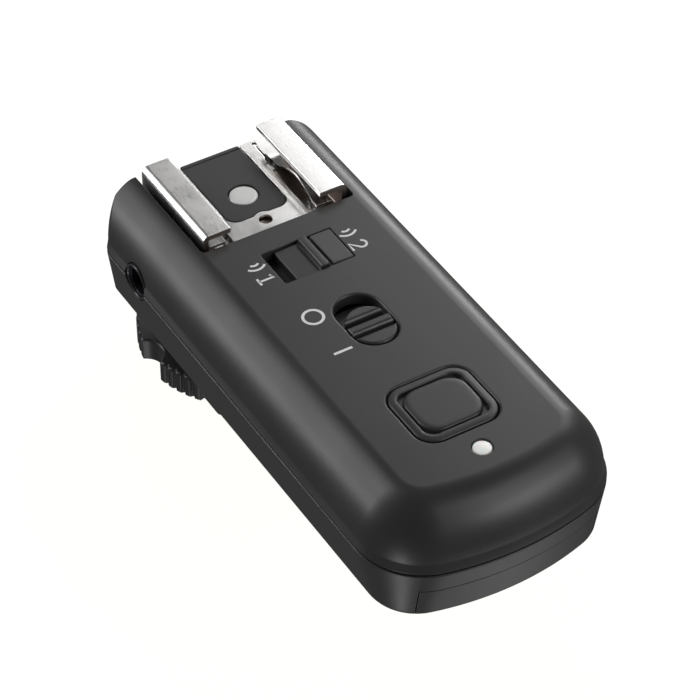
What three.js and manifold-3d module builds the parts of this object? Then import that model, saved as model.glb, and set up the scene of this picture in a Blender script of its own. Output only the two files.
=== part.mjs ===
// Wireless flash trigger: a hand-sized radio trigger with an accessory shoe on top, a shoe foot with a
// locking wheel below, two slide switches, a test button, a status lamp and a sync socket.
// Millimetres. While the parts are laid out, x = y = 0 is the axis that the shoe, the foot and the wheel
// share, z = 0 is the flat top of the case, +Y points to the shoe end and -Y to the battery end.
import * as THREE from "three";
import { mergeVertices } from "three/addons/utils/BufferGeometryUtils.js";
import Module from "manifold-3d";

const wasm = await Module();
wasm.setup();

// ---------------------------------------------------------------- driving dimensions
const GAP = 0.3; // between pieces that touch
const RUN = 0.16; // round pieces that move
const WALL = 1.6;

const HALF_WIDTH = 16.42; // of the case at the parting line
const SHOE_END = 8.35; // y of the flat end of the case
const BATTERY_END = -63.8; // y of the bowed end, at its middle
const BOW_RADIUS = 40; // of the bowed end in plan
const BOW_STEPS = 7; // odd, so that the case rests on a flat of the bow and not on a corner
const BATTERY_CORNER = 9.0; // plan radius of the upright corners of the bowed end, at the parting line
const TOP_CORNER = 2.7; // the same corners where the shoulder meets the flat top
const BOTTOM_CORNER = 5.0; // and on the underside
const SHOE_CORNER = 2.8;
const PARTING = -8.58; // z of the seam between the shells
const BOTTOM = -16.3; // z of the flat underside
const SHOULDER_WIDTH = 5.54; // the rounded shoulder in plan ...
const SHOULDER_DROP = 7.3; // ... and in height
const SHOULDER_POWER = 1.84; // 2 would be an ellipse; less is a little flatter
const TOP_DRAFT = 0.4;
const BOTTOM_DRAFT = 1.2;
const BOTTOM_ROUND = 0.8;

const LIP_OPENING = 12.7; // accessory shoe, to the usual standard
const SHOE_INNER = 18.9;
const SHEET = 0.75;
const LIP_TOP = 1.55;
const LIP_SHOE_END = 7.67;
const LIP_BATTERY_END = -8.14;
const PLATE_TOP = -1.72;
const PLATE_SHEET = 0.35;
const RECESS_HALF = 10.8;
const RECESS_END = -8.98;

const WINDOW_HALF = 4.95; // channel switch window
const WINDOW_Y = [-19.0, -12.78];
const SLOT_RADIUS = 3.0; // power switch slot
const SLOT_Y = [-34.2, -24.7];
const POWER_TRAVEL = 2.3;
const CHANNEL_TRAVEL = 1.7;
const BUTTON = { y: -46.45, width: 11.28, length: 10.29, corner: 2.6 };
const LED = { y: -54.74, radius: 1.15 };
const JACK = { y: -0.95, z: -8.25, bore: 1.8, collar: 2.4 };

const DOOR_HALF = 12.3;
const DOOR_Y = -35; // inner edge of the battery door
const DOOR_TOP = -11.5; // how far the door climbs the bowed end
const DOOR_SHEET = 1.3;
const CELL = { radius: 10, height: 3.2, y: -47.6 }; // 2032 coin cell

const BOARD_TOP = -6.2;
const BOARD_SHEET = 1.0;
const BOARD_BOTTOM = BOARD_TOP - BOARD_SHEET;

const WHEEL = { radius: 14.4, trough: 14.08, top: -21.6, bottom: -25.0 };
const SCALLOPS = 8;
const SCALLOP_RADIUS = 2.7;
const SCALLOP_CENTRE = 15.4;
const RIBS = 5; // on each lobe of the wheel
const RIB_PITCH = THREE.MathUtils.degToRad(5.6);
const POST_RADIUS = 5.9;
const FOOT = { width: 18.6, length: 18.0, sheet: 1.9, bottom: -28.5, neck: 12.2 };
const PIN_PROUD = 0.5; // how far the foot's contact stands out
const LOWEST = FOOT.bottom - PIN_PROUD;

// ---------------------------------------------------------------- solids
function toSolid(geometry) {
  const bare = geometry.clone();
  bare.deleteAttribute("normal");
  bare.deleteAttribute("uv");
  const merged = mergeVertices(bare, 1e-4);
  return new wasm.Manifold(
    new wasm.Mesh({
      numProp: 3,
      vertProperties: merged.attributes.position.array,
      triVerts: new Uint32Array(merged.index.array),
    }),
  );
}

function toGeometry(solid) {
  const mesh = solid.getMesh();
  const geometry = new THREE.BufferGeometry();
  geometry.setAttribute("position", new THREE.BufferAttribute(mesh.vertProperties, 3));
  geometry.setIndex(new THREE.BufferAttribute(mesh.triVerts, 1));
  return geometry;
}

function box(x, y, z) {
  const geometry = new THREE.BoxGeometry(x[1] - x[0], y[1] - y[0], z[1] - z[0]);
  return toSolid(geometry.translate((x[0] + x[1]) / 2, (y[0] + y[1]) / 2, (z[0] + z[1]) / 2));
}

function discZ(radius, z, at = [0, 0], segments = 32) {
  const geometry = new THREE.CylinderGeometry(radius, radius, z[1] - z[0], segments);
  return toSolid(geometry.rotateX(Math.PI / 2).translate(at[0], at[1], (z[0] + z[1]) / 2));
}

function discX(radius, x, at, segments = 24) {
  const geometry = new THREE.CylinderGeometry(radius, radius, x[1] - x[0], segments);
  return toSolid(geometry.rotateZ(Math.PI / 2).translate((x[0] + x[1]) / 2, at[0], at[1]));
}

// A profile of [radius, height] points, turned about an upright axis.
function turned(profile, at = [0, 0], segments = 24) {
  const points = profile.map(([radius, height]) => new THREE.Vector2(radius, height));
  const geometry = new THREE.LatheGeometry(points, segments).rotateX(Math.PI / 2);
  return toSolid(geometry.translate(at[0], at[1], 0));
}

function prism(shape, z, curveSegments = 6) {
  const geometry = new THREE.ExtrudeGeometry(shape, {
    depth: z[1] - z[0],
    bevelEnabled: false,
    curveSegments,
  });
  return toSolid(geometry.translate(0, 0, z[0]));
}

// An outline drawn in the XZ plane (side profile seen along Y), drawn out from y[0] to y[1].
function sideways(shape, y, curveSegments = 4) {
  const geometry = new THREE.ExtrudeGeometry(shape, {
    depth: y[1] - y[0],
    bevelEnabled: false,
    curveSegments,
  });
  return toSolid(geometry.rotateX(Math.PI / 2).translate(0, y[1], 0));
}

// An outline drawn in the YZ plane, drawn out from x[0] to x[1].
function lengthways(shape, x, curveSegments = 4) {
  const geometry = new THREE.ExtrudeGeometry(shape, {
    depth: x[1] - x[0],
    bevelEnabled: false,
    curveSegments,
  });
  const turn = new THREE.Matrix4().set(0, 0, 1, x[0], 1, 0, 0, 0, 0, 1, 0, 0, 0, 0, 0, 1);
  return toSolid(geometry.applyMatrix4(turn));
}

function polygon(points) {
  return new THREE.Shape(points.map(([x, y]) => new THREE.Vector2(x, y)));
}

function roundedRectangle(x, y, radius) {
  const shape = new THREE.Shape();
  shape.moveTo(x[0] + radius, y[0]);
  shape.lineTo(x[1] - radius, y[0]);
  shape.absarc(x[1] - radius, y[0] + radius, radius, -Math.PI / 2, 0, false);
  shape.lineTo(x[1], y[1] - radius);
  shape.absarc(x[1] - radius, y[1] - radius, radius, 0, Math.PI / 2, false);
  shape.lineTo(x[0] + radius, y[1]);
  shape.absarc(x[0] + radius, y[1] - radius, radius, Math.PI / 2, Math.PI, false);
  shape.lineTo(x[0], y[0] + radius);
  shape.absarc(x[0] + radius, y[0] + radius, radius, Math.PI, 1.5 * Math.PI, false);
  return shape;
}

// A skin through closed rings that have the same number of points, lowest ring first.
function loft(rings) {
  const count = rings[0].length;
  const positions = rings.flat().flatMap((point) => [point.x, point.y, point.z]);
  const index = [];
  for (let level = 0; level + 1 < rings.length; level += 1) {
    for (let i = 0; i < count; i += 1) {
      const a = level * count + i;
      const b = level * count + ((i + 1) % count);
      index.push(a, b, b + count, a, b + count, a + count);
    }
  }
  const cap = (ring, first, flip) => {
    const flat = ring.map((point) => new THREE.Vector2(point.x, point.y));
    for (const [a, b, c] of THREE.ShapeUtils.triangulateShape(flat, [])) {
      index.push(...(flip ? [first + c, first + b, first + a] : [first + a, first + b, first + c]));
    }
  };
  cap(rings[0], 0, true);
  cap(rings[rings.length - 1], (rings.length - 1) * count, false);
  const geometry = new THREE.BufferGeometry();
  geometry.setAttribute("position", new THREE.Float32BufferAttribute(positions, 3));
  geometry.setIndex(index);
  return toSolid(geometry);
}

// ---------------------------------------------------------------- the scene graph
const trigger = new THREE.Group();
trigger.name = "wireless_flash_trigger";

function add(name, solid, [color, roughness, metalness]) {
  const material = new THREE.MeshStandardMaterial({ color, roughness, metalness });
  const mesh = new THREE.Mesh(toGeometry(solid), material);
  mesh.name = name;
  trigger.add(mesh);
}

const CASE_PLASTIC = [0x34353a, 0.5, 0];
const BLACK_PLASTIC = [0x17181a, 0.5, 0];
const BRIGHT_METAL = [0xdcdcd8, 0.2, 1];
const DULL_METAL = [0xa8a8a4, 0.45, 1];
const GOLD = [0xc9a45a, 0.35, 1];
const BOARD_GREEN = [0x1d5a38, 0.6, 0];
const LAMP_WHITE = [0xf2f2ee, 0.3, 0];

// ---------------------------------------------------------------- the case
// The case in plan, drawn in by inset from its widest outline, which lies at the parting line.
function caseOutline(inset, z, endInset = 0) {
  const half = HALF_WIDTH - inset;
  const end = SHOE_END - endInset;
  const centreY = BATTERY_END + BOW_RADIUS;
  const bow = BOW_RADIUS - inset;
  const closing = z > PARTING
    ? (BATTERY_CORNER - TOP_CORNER) / (TOP_DRAFT + SHOULDER_WIDTH)
    : (BATTERY_CORNER - BOTTOM_CORNER) / (BOTTOM_DRAFT + BOTTOM_ROUND);
  const near = Math.max(BATTERY_CORNER - inset * closing, 0.25);
  const far = Math.max(SHOE_CORNER - inset, 0.25);
  const cornerX = half - near;
  const cornerY = centreY - Math.sqrt((bow - near) ** 2 - cornerX ** 2);
  const meet = Math.atan2(cornerY - centreY, cornerX);
  const ring = [];
  const arc = (x, y, radius, from, to, steps) => {
    for (let i = 0; i <= steps; i += 1) {
      const angle = from + ((to - from) * i) / steps;
      ring.push(new THREE.Vector3(x + radius * Math.cos(angle), y + radius * Math.sin(angle), z));
    }
  };
  arc(cornerX, cornerY, near, meet, 0, 5);
  arc(half - far, end - far, far, 0, Math.PI / 2, 4);
  arc(far - half, end - far, far, Math.PI / 2, Math.PI, 4);
  arc(-cornerX, cornerY, near, Math.PI, Math.PI - meet, 5);
  const step = (2 * meet + Math.PI) / BOW_STEPS;
  const radius = bow / Math.cos(step / 2); // so that the flats touch the bow
  for (let i = 1; i < BOW_STEPS; i += 1) {
    const angle = -Math.PI - meet + step * i;
    ring.push(new THREE.Vector3(radius * Math.cos(angle), centreY + radius * Math.sin(angle), z));
  }
  return ring;
}

// The upper half of the case, grown inwards by thickness.
function upperForm(thickness, bottomZ, steps) {
  const rings = [caseOutline(thickness, bottomZ, thickness)];
  for (let i = 0; i <= steps; i += 1) {
    const angle = (Math.PI / 2) * (i / steps);
    const across = 1 - Math.max(Math.cos(angle), 0) ** (2 / SHOULDER_POWER);
    const inset = TOP_DRAFT + SHOULDER_WIDTH * across;
    const z = SHOULDER_DROP * (Math.sin(angle) ** (2 / SHOULDER_POWER) - 1);
    const endRound = i === steps ? 0.35 : 0;
    rings.push(caseOutline(inset + thickness, z - thickness, endRound + thickness));
  }
  return loft(rings);
}

function lowerForm(thickness, topZ, steps = 4) {
  const rings = [];
  for (let i = 0; i <= steps; i += 1) {
    const angle = (Math.PI / 2) * (i / steps);
    const inset = BOTTOM_DRAFT + BOTTOM_ROUND * (1 - Math.sin(angle));
    const z = BOTTOM + BOTTOM_ROUND * (1 - Math.cos(angle));
    rings.push(caseOutline(inset + thickness, z + thickness, inset - BOTTOM_DRAFT + thickness));
  }
  rings.push(caseOutline(thickness, topZ, thickness));
  return loft(rings);
}

const REBATE = 0.8; // the shells meet in a stepped seam
const REBATE_TOP = PARTING + 1.3;
const SEAM = 0.14; // half of the seam's visible width
const POCKET_FLOOR = PLATE_TOP - PLATE_SHEET - GAP - SHEET - GAP;
const POCKET_SHEET = 1.2;
const CASE_SCREWS = [
  [-12.2, 4.4],
  [12.2, 4.4],
  [-12.2, -30.5],
  [12.2, -30.5],
];
const BOARD_SCREWS = [
  [-10.6, -24.2],
  [10.6, -53.6],
];
const SHOE_SCREWS = [
  [-6.4, -5.6],
  [6.4, -5.6],
  [-6.4, 4.6],
  [6.4, 4.6],
];

function stadium(radius, y) {
  const shape = new THREE.Shape();
  shape.absarc(0, y[0] + radius, radius, Math.PI, 2 * Math.PI, false);
  shape.absarc(0, y[1] - radius, radius, 0, Math.PI, false);
  return shape;
}

function buttonShape(inset) {
  const x = BUTTON.width / 2 - inset;
  const y = BUTTON.length / 2 - inset;
  return roundedRectangle([-x, x], [BUTTON.y - y, BUTTON.y + y], BUTTON.corner - inset);
}

function topShell() {
  const outer = upperForm(0, PARTING + SEAM, 10);
  let shell = outer.subtract(upperForm(WALL, PARTING - 1, 4));
  const rebate = [PARTING - 1, REBATE_TOP].map((z) => caseOutline(REBATE, z, REBATE));
  shell = shell.subtract(loft(rebate));
  const pocketWall = box(
    [-RECESS_HALF - POCKET_SHEET, RECESS_HALF + POCKET_SHEET],
    [RECESS_END - POCKET_SHEET, SHOE_END],
    [POCKET_FLOOR - POCKET_SHEET, 0],
  );
  let ribs = pocketWall;
  for (const at of CASE_SCREWS) ribs = ribs.add(discZ(2.3, [REBATE_TOP, -1], at, 20));
  for (const at of BOARD_SCREWS) ribs = ribs.add(discZ(1.9, [BOARD_TOP + GAP, -1], at, 20));
  shell = shell.add(ribs.intersect(upperForm(0.02, REBATE_TOP, 10)));
  const cuts = [
    prism(roundedRectangle([-RECESS_HALF, RECESS_HALF], [RECESS_END, SHOE_END + 9], 0.6), [POCKET_FLOOR, 3]),
    box([-WINDOW_HALF, WINDOW_HALF], WINDOW_Y, [-4, 3]),
    prism(stadium(SLOT_RADIUS, SLOT_Y), [-4, 3], 12),
    prism(buttonShape(0), [-4, 3], 6),
    discZ(LED.radius + RUN, [-4, 3], [0, LED.y], 20),
    discX(JACK.collar + RUN, [-HALF_WIDTH - 1, -11], [JACK.y, JACK.z]),
    discZ(3.1, [POCKET_FLOOR - 2, 0], [0, 0], 24),
  ];
  for (const at of CASE_SCREWS) cuts.push(discZ(0.75, [PARTING - 1, -4.9], at, 16));
  for (const at of BOARD_SCREWS) cuts.push(discZ(0.65, [PARTING - 1, -3.4], at, 16));
  for (const at of SHOE_SCREWS) cuts.push(discZ(0.95, [POCKET_FLOOR - 2, 0], at, 16));
  return cuts.reduce((solid, cut) => solid.subtract(cut), shell);
}

const TRAY_CEILING = -10.4; // the battery bay's roof
const TRAY_SHEET = 0.9;
const FLANGE = { x: [-9.5, 9.5], y: [-9.4, 5.6], corner: 1.0, sheet: 1.1 };
const FLANGE_PAD = 1.0; // the underside is thicker below the flange
const COLLAR = { radius: 8, depth: 1.7 };
const POST_SCREWS = [
  [-7.6, -7.2],
  [7.6, -7.2],
  [-7.6, 4.0],
  [7.6, 4.0],
];
const FOOT_SCREWS = [
  [-2.9, -2.9],
  [2.9, -2.9],
  [-2.9, 2.9],
  [2.9, 2.9],
];
const FLOOR_TOP = BOTTOM + WALL;

function bottomShell() {
  const outer = lowerForm(0, PARTING - SEAM);
  let shell = outer.subtract(lowerForm(WALL, PARTING + 1, 2));
  const tongue = loft([
    caseOutline(REBATE + GAP, PARTING - 2, REBATE + GAP),
    caseOutline(REBATE + GAP, REBATE_TOP - GAP, REBATE + GAP),
  ]);
  shell = shell.add(tongue.subtract(loft([caseOutline(1.9, PARTING - 3, 1.9), caseOutline(1.9, 0, 1.9)])));
  let inside = box([-13.6, 13.6], [BATTERY_END - 1, DOOR_Y + 1.2], [BOTTOM + 0.5, TRAY_CEILING + TRAY_SHEET]);
  for (const at of CASE_SCREWS) inside = inside.add(discZ(2.3, [BOTTOM + 0.5, PARTING], at, 20));
  shell = shell.add(inside.intersect(lowerForm(0.02, PARTING)));
  const pad = roundedRectangle(FLANGE.x, FLANGE.y, FLANGE.corner);
  shell = shell.add(prism(pad, [BOTTOM - FLANGE_PAD, BOTTOM + 0.5]));
  shell = shell.add(discZ(COLLAR.radius, [BOTTOM - COLLAR.depth, BOTTOM], [0, 0], 36));
  const cuts = [
    box([-DOOR_HALF, DOOR_HALF], [BATTERY_END - 1, DOOR_Y], [BOTTOM - 1, BOTTOM + DOOR_SHEET + GAP]),
    box([-DOOR_HALF, DOOR_HALF], [BATTERY_END - 1, BATTERY_END + 4.4], [BOTTOM - 1, DOOR_TOP]),
    discZ(CELL.radius + 0.35, [BOTTOM, TRAY_CEILING], [0, CELL.y], 32),
    box([-4.2, 4.2], [BATTERY_END - 1, CELL.y], [BOTTOM, DOOR_TOP - 0.6]),
    box([3.4, 6.2], [CELL.y - 3, CELL.y + 3], [BOTTOM, PARTING + 1]),
    box([-11.0, -9.5], [CELL.y - 2.1, CELL.y + 2.1], [BOTTOM + DOOR_SHEET + GAP, PARTING + 1]),
    discX(JACK.collar + RUN, [-HALF_WIDTH - 1, -11], [JACK.y, JACK.z]),
    discZ(POST_RADIUS + GAP, [BOTTOM - 5, BOTTOM + 5], [0, 0], 28),
  ];
  for (const at of POST_SCREWS) cuts.push(discZ(0.85, [BOTTOM - 0.7, BOTTOM + 5], at, 16));
  for (const at of CASE_SCREWS) {
    cuts.push(discZ(1.3, [BOTTOM - 1, PARTING + 2], at, 16));
    cuts.push(discZ(2.0, [BOTTOM - 1, BOTTOM + 3.2], at, 20));
  }
  return cuts.reduce((solid, cut) => solid.subtract(cut), shell);
}

function batteryDoor() {
  const form = lowerForm(0, PARTING);
  const x = [-DOOR_HALF + RUN, DOOR_HALF - RUN];
  const plate = box(x, [BATTERY_END - 1, DOOR_Y - RUN], [BOTTOM - 1, BOTTOM + DOOR_SHEET]);
  const end = box(x, [BATTERY_END - 1, BATTERY_END + 4.1], [BOTTOM - 1, DOOR_TOP - RUN]);
  const hollow = lowerForm(1.3, DOOR_TOP + 3).intersect(
    box([-DOOR_HALF + 1.2, DOOR_HALF - 1.2], [BATTERY_END, BATTERY_END + 9], [BOTTOM, DOOR_TOP]),
  );
  let door = plate.add(end).intersect(form).subtract(hollow);
  const grip = 1.4;
  for (let i = 0; i < 4; i += 1) {
    const y = DOOR_Y - 5 - i * grip;
    door = door.subtract(box([-5, 5], [y - 0.35, y + 0.35], [BOTTOM - 1, BOTTOM + 0.35]));
  }
  return door;
}

add("top_shell", topShell(), CASE_PLASTIC);
add("bottom_shell", bottomShell(), CASE_PLASTIC);
add("battery_door", batteryDoor(), CASE_PLASTIC);

// ---------------------------------------------------------------- fasteners
// A cross-head screw: pan or countersunk head, plain shank, pointing down (-Z) unless turned over.
function screw({ at, top, length, shank, head, headHeight, countersunk = false, up = false }) {
  const side = up ? 1 : -1;
  const z = (depth) => top + side * depth;
  const tail = [[shank, z(headHeight)], [shank, z(length)], [0, z(length)]];
  const panHead = [[head * 0.75, z(0)], [head, z(headHeight * 0.4)], [head, z(headHeight)]];
  const profile = [[0, z(0)], ...(countersunk ? [[head, z(0)]] : panHead), ...tail];
  const body = turned(up ? profile : profile.reverse(), at, 12);
  const arm = head * 0.62;
  const slot = head * 0.13;
  const depth = [Math.min(z(0) - side, z(headHeight * 0.5)), Math.max(z(0) - side, z(headHeight * 0.5))];
  return body
    .subtract(box([at[0] - arm, at[0] + arm], [at[1] - slot, at[1] + slot], depth))
    .subtract(box([at[0] - slot, at[0] + slot], [at[1] - arm, at[1] + arm], depth));
}

CASE_SCREWS.forEach((at, i) => {
  const top = BOTTOM + 1.4;
  const solid = screw({ at, top, length: 8.4, shank: 0.7, head: 1.75, headHeight: 1.4, up: true });
  add(`case_screw_${i + 1}`, solid, DULL_METAL);
});

BOARD_SCREWS.forEach((at, i) => {
  const top = BOARD_BOTTOM - 1.1;
  const solid = screw({ at, top, length: 4.0, shank: 0.55, head: 1.5, headHeight: 0.8, up: true });
  add(`board_screw_${i + 1}`, solid, DULL_METAL);
});

// ---------------------------------------------------------------- accessory shoe
const LIP_HALF = LIP_OPENING / 2;
const SHOE_HALF = SHOE_INNER / 2 + SHEET;
const SHOE_FLOOR = PLATE_TOP - PLATE_SHEET - GAP;

// The folded channel: floor, two upright walls and two lips turned inwards.
function shoeBracket() {
  const bend = 0.85;
  const inner = SHOE_HALF - SHEET;
  const shape = new THREE.Shape();
  shape.moveTo(-SHOE_HALF, SHOE_FLOOR - SHEET);
  shape.lineTo(SHOE_HALF, SHOE_FLOOR - SHEET);
  shape.lineTo(SHOE_HALF, LIP_TOP - bend);
  shape.absarc(SHOE_HALF - bend, LIP_TOP - bend, bend, 0, Math.PI / 2, false);
  shape.lineTo(LIP_HALF, LIP_TOP);
  shape.lineTo(LIP_HALF, LIP_TOP - SHEET);
  shape.lineTo(inner, LIP_TOP - SHEET);
  shape.lineTo(inner, SHOE_FLOOR);
  shape.lineTo(-inner, SHOE_FLOOR);
  shape.lineTo(-inner, LIP_TOP - SHEET);
  shape.lineTo(-LIP_HALF, LIP_TOP - SHEET);
  shape.lineTo(-LIP_HALF, LIP_TOP);
  shape.lineTo(bend - SHOE_HALF, LIP_TOP);
  shape.absarc(bend - SHOE_HALF, LIP_TOP - bend, bend, Math.PI / 2, Math.PI, false);
  let bracket = sideways(shape, [LIP_BATTERY_END, LIP_SHOE_END], 6);
  const padOpening = roundedRectangle([-4.3, 4.3], [-3.2, SHOE_END + 2], 0.8);
  bracket = bracket.subtract(prism(padOpening, [-5, LIP_TOP - 1.2]));
  for (const at of SHOE_SCREWS) {
    const low = [[0, -6], [1.15, -6], [1.15, SHOE_FLOOR - 0.6]];
    const sink = [...low, [1.95, SHOE_FLOOR + 0.02], [1.95, 0], [0, 0]];
    bracket = bracket.subtract(turned(sink, at, 12));
  }
  return bracket;
}

// The sprung plate over the floor: a window for the contact pad, a locking-pin hole in a lobe at the
// battery end, and a leaf along each side that bows up and presses the mating foot against the lips.
const PAD = { half: 4.25, near: -4.3, far: 8.9, corner: 1.5 };
const PIN_HOLE = { y: -5.6, radius: 0.88, lobe: 1.55 };

function springPlate() {
  const bottom = PLATE_TOP - PLATE_SHEET;
  const z = [bottom, PLATE_TOP];
  const edge = 9.0;
  let plate = prism(roundedRectangle([-edge, edge], [RECESS_END + 0.45, 8.7], 0.5), z);
  const pad = roundedRectangle([-PAD.half - RUN, PAD.half + RUN], [PAD.near - RUN, 14], PAD.corner);
  const lobe = discZ(PIN_HOLE.lobe, z, [0, PIN_HOLE.y], 24);
  plate = plate.subtract(prism(pad, [-4, 0])).add(lobe);
  plate = plate.subtract(discZ(PIN_HOLE.radius, [-4, 0], [0, PIN_HOLE.y], 20));
  for (const side of [-1, 1]) {
    const span = (a, b) => (side > 0 ? [a, b] : [-b, -a]);
    plate = plate.subtract(box(span(5.45, 14), [-14, 5.6], [-4, 0]));
    plate = plate.subtract(box(span(6.0, 6.3), [4, 8.0], [-4, 0]));
    plate = plate.subtract(discZ(0.35, [-4, 0], [side * 6.15, 8.0], 12));
    const leaf = new THREE.Shape();
    leaf.moveTo(7.2, PLATE_TOP);
    leaf.lineTo(5.0, PLATE_TOP);
    leaf.bezierCurveTo(2, PLATE_TOP, 0.5, PLATE_TOP + 1.9, -2, PLATE_TOP + 1.9);
    leaf.bezierCurveTo(-4, PLATE_TOP + 1.9, -5, PLATE_TOP + 0.4, -7.0, PLATE_TOP + 0.3);
    leaf.lineTo(-7.0, PLATE_TOP + 0.3 - PLATE_SHEET);
    leaf.bezierCurveTo(-5, PLATE_TOP + 0.4 - PLATE_SHEET, -4, bottom + 1.9, -2, bottom + 1.9);
    leaf.bezierCurveTo(0.5, bottom + 1.9, 2, bottom, 5.0, bottom);
    leaf.lineTo(7.2, bottom);
    plate = plate.add(lengthways(leaf, span(6.5, 8.7), 6));
  }
  return plate;
}

function contactPad() {
  const notch = discZ(PIN_HOLE.lobe + RUN, [-9, 0], [0, PIN_HOLE.y], 24);
  const outline = roundedRectangle([-PAD.half, PAD.half], [PAD.near, PAD.far], PAD.corner);
  const face = prism(outline, [SHOE_FLOOR + 0.1, PLATE_TOP - 0.02]);
  const root = box([-3.9, 3.9], [-2.9, SHOE_END + 0.4], [POCKET_FLOOR + GAP, SHOE_FLOOR + 0.2]);
  return face.add(root).subtract(notch).subtract(discZ(2.0, [-9, 0], [0, 0], 32));
}

function shoeContact() {
  const face = PLATE_TOP - 0.12;
  return turned([[0, -5.6], [0.8, -5.6], [0.8, -3.2], [1.85, -3.2], [1.85, face], [0, face]], [0, 0], 32);
}

add("shoe_bracket", shoeBracket(), BRIGHT_METAL);
add("shoe_spring_plate", springPlate(), BRIGHT_METAL);
add("contact_pad", contactPad(), BLACK_PLASTIC);
add("shoe_contact", shoeContact(), DULL_METAL);
SHOE_SCREWS.forEach((at, i) => {
  const head = { top: SHOE_FLOOR - 0.05, shank: 0.8, head: 1.7, headHeight: 0.7 };
  add(`shoe_screw_${i + 1}`, screw({ at, length: 3.0, countersunk: true, ...head }), DULL_METAL);
});

// ---------------------------------------------------------------- switches and button
// Each slide switch is a metal-cased body on the board, its lever, and the cap that the finger moves.
function channelSlider() {
  const right = WINDOW_HALF - RUN;
  const left = right - (2 * WINDOW_HALF - CHANNEL_TRAVEL - 2 * RUN);
  const y = [WINDOW_Y[0] + RUN, WINDOW_Y[1] - RUN];
  const tile = box([left, right], y, [-2.4, -0.4]);
  const ridge = sideways(
    polygon([[-0.5, -0.6], [2.1, -0.6], [2.1, -0.4], [1.35, 0.45], [0.25, 0.45], [-0.5, -0.4]]),
    y,
  );
  const base = box([left - 1.2, right + 0.6], [y[0] - 0.9, y[1] + 0.9], [-2.7, -1.9]);
  const groove = box([0.25, 1.35], [-18, -13], [-5, -3.0]);
  const fork = box([-0.55, 2.15], [-16.9, -14.9], [-4.0, -2.5]).subtract(groove);
  return tile.add(ridge).add(base).add(fork);
}

function powerSlider() {
  const radius = SLOT_RADIUS - RUN;
  const y = [SLOT_Y[0] + RUN, SLOT_Y[1] - POWER_TRAVEL - RUN];
  let cap = prism(stadium(radius, y), [-2.4, 0.1], 10);
  for (const offset of [-0.85, 1.35]) {
    const middle = (y[0] + y[1]) / 2 + offset;
    cap = cap.subtract(box([-5, 5], [middle - 0.42, middle + 0.42], [-0.75, 1]));
  }
  const base = box([-4.6, 4.6], [SLOT_Y[0] - 0.9, SLOT_Y[1] - 0.4], [-2.7, -1.9]);
  const middle = (SLOT_Y[0] + SLOT_Y[1] - POWER_TRAVEL) / 2;
  const fork = box([-1, 1], [middle - 1.35, middle + 1.35], [-4.0, -2.5]).subtract(
    box([-2, 2], [middle - 0.55, middle + 0.55], [-5, -3.0]),
  );
  return cap.add(base).add(fork);
}

// Lever slots are cut through the roof of each switch body.
function switchBody(x, y, slot) {
  const body = box(x, y, [BOARD_TOP + GAP, -4.3]);
  return body.subtract(box(slot.x, slot.y, [-5.1, -4]));
}

function testButton() {
  const body = prism(buttonShape(RUN), [-2.2, -0.15], 6);
  const crown = prism(buttonShape(0.9), [-0.3, 0.25], 6);
  const flange = prism(buttonShape(-0.7), [-2.7, -1.9], 6);
  const stem = discZ(1.6, [-3.0, -2.5], [0, BUTTON.y], 20);
  return body.add(crown).add(flange).add(stem);
}

const powerMiddle = (SLOT_Y[0] + SLOT_Y[1] - POWER_TRAVEL) / 2;
add("channel_slider", channelSlider(), BLACK_PLASTIC);
const channelSlot = { x: [-1.6, 1.6], y: [-16.5, -15.3] };
add("channel_switch", switchBody([-4.6, 4.6], [-17.7, -14.1], channelSlot), DULL_METAL);
add("channel_switch_lever", box([0.35, 1.25], [-16.35, -15.45], [-5.0, -3.1]), BLACK_PLASTIC);
add("power_slider", powerSlider(), BLACK_PLASTIC);
const powerSlot = { x: [-0.6, 0.6], y: [powerMiddle - 0.6, powerMiddle + POWER_TRAVEL + 0.6] };
add("power_switch", switchBody([-1.8, 1.8], [powerMiddle - 2.6, powerMiddle + 4.9], powerSlot), DULL_METAL);
const powerLever = box([-0.45, 0.45], [powerMiddle - 0.45, powerMiddle + 0.45], [-5.0, -3.1]);
add("power_switch_lever", powerLever, BLACK_PLASTIC);
add("test_button", testButton(), BLACK_PLASTIC);

function testSwitch() {
  const body = box([-3, 3], [BUTTON.y - 3, BUTTON.y + 3], [BOARD_TOP + GAP, -3.9]);
  return body.subtract(discZ(1.75, [-4.9, -3], [0, BUTTON.y], 20));
}

add("test_switch", testSwitch(), DULL_METAL);
add("test_switch_plunger", discZ(1.6, [-4.3, -3.1], [0, BUTTON.y], 20), BLACK_PLASTIC);

function statusLamp() {
  const r = LED.radius;
  const dome = [[r, -0.2], [r * 0.8, 0], [0, 0.08]];
  return turned([[0, -4.6], [1.55, -4.6], [1.55, -2.2], [r, -2.2], ...dome], [0, LED.y], 20);
}

add("status_lamp", statusLamp(), LAMP_WHITE);

// ---------------------------------------------------------------- circuit board and what it carries
function circuitBoard() {
  let board = prism(roundedRectangle([-13, 13], [-58.0, -11], 2.6), [BOARD_BOTTOM, BOARD_TOP]);
  for (const at of BOARD_SCREWS) board = board.subtract(discZ(0.8, [-9, -5], at, 16));
  for (const [x, y] of CASE_SCREWS.slice(2)) board = board.subtract(discZ(2.7, [-9, -5], [x, y], 20));
  return board;
}

function boxOnBoard(x, y, height) {
  return box(x, y, [BOARD_TOP + GAP, BOARD_TOP + GAP + height]);
}

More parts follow.
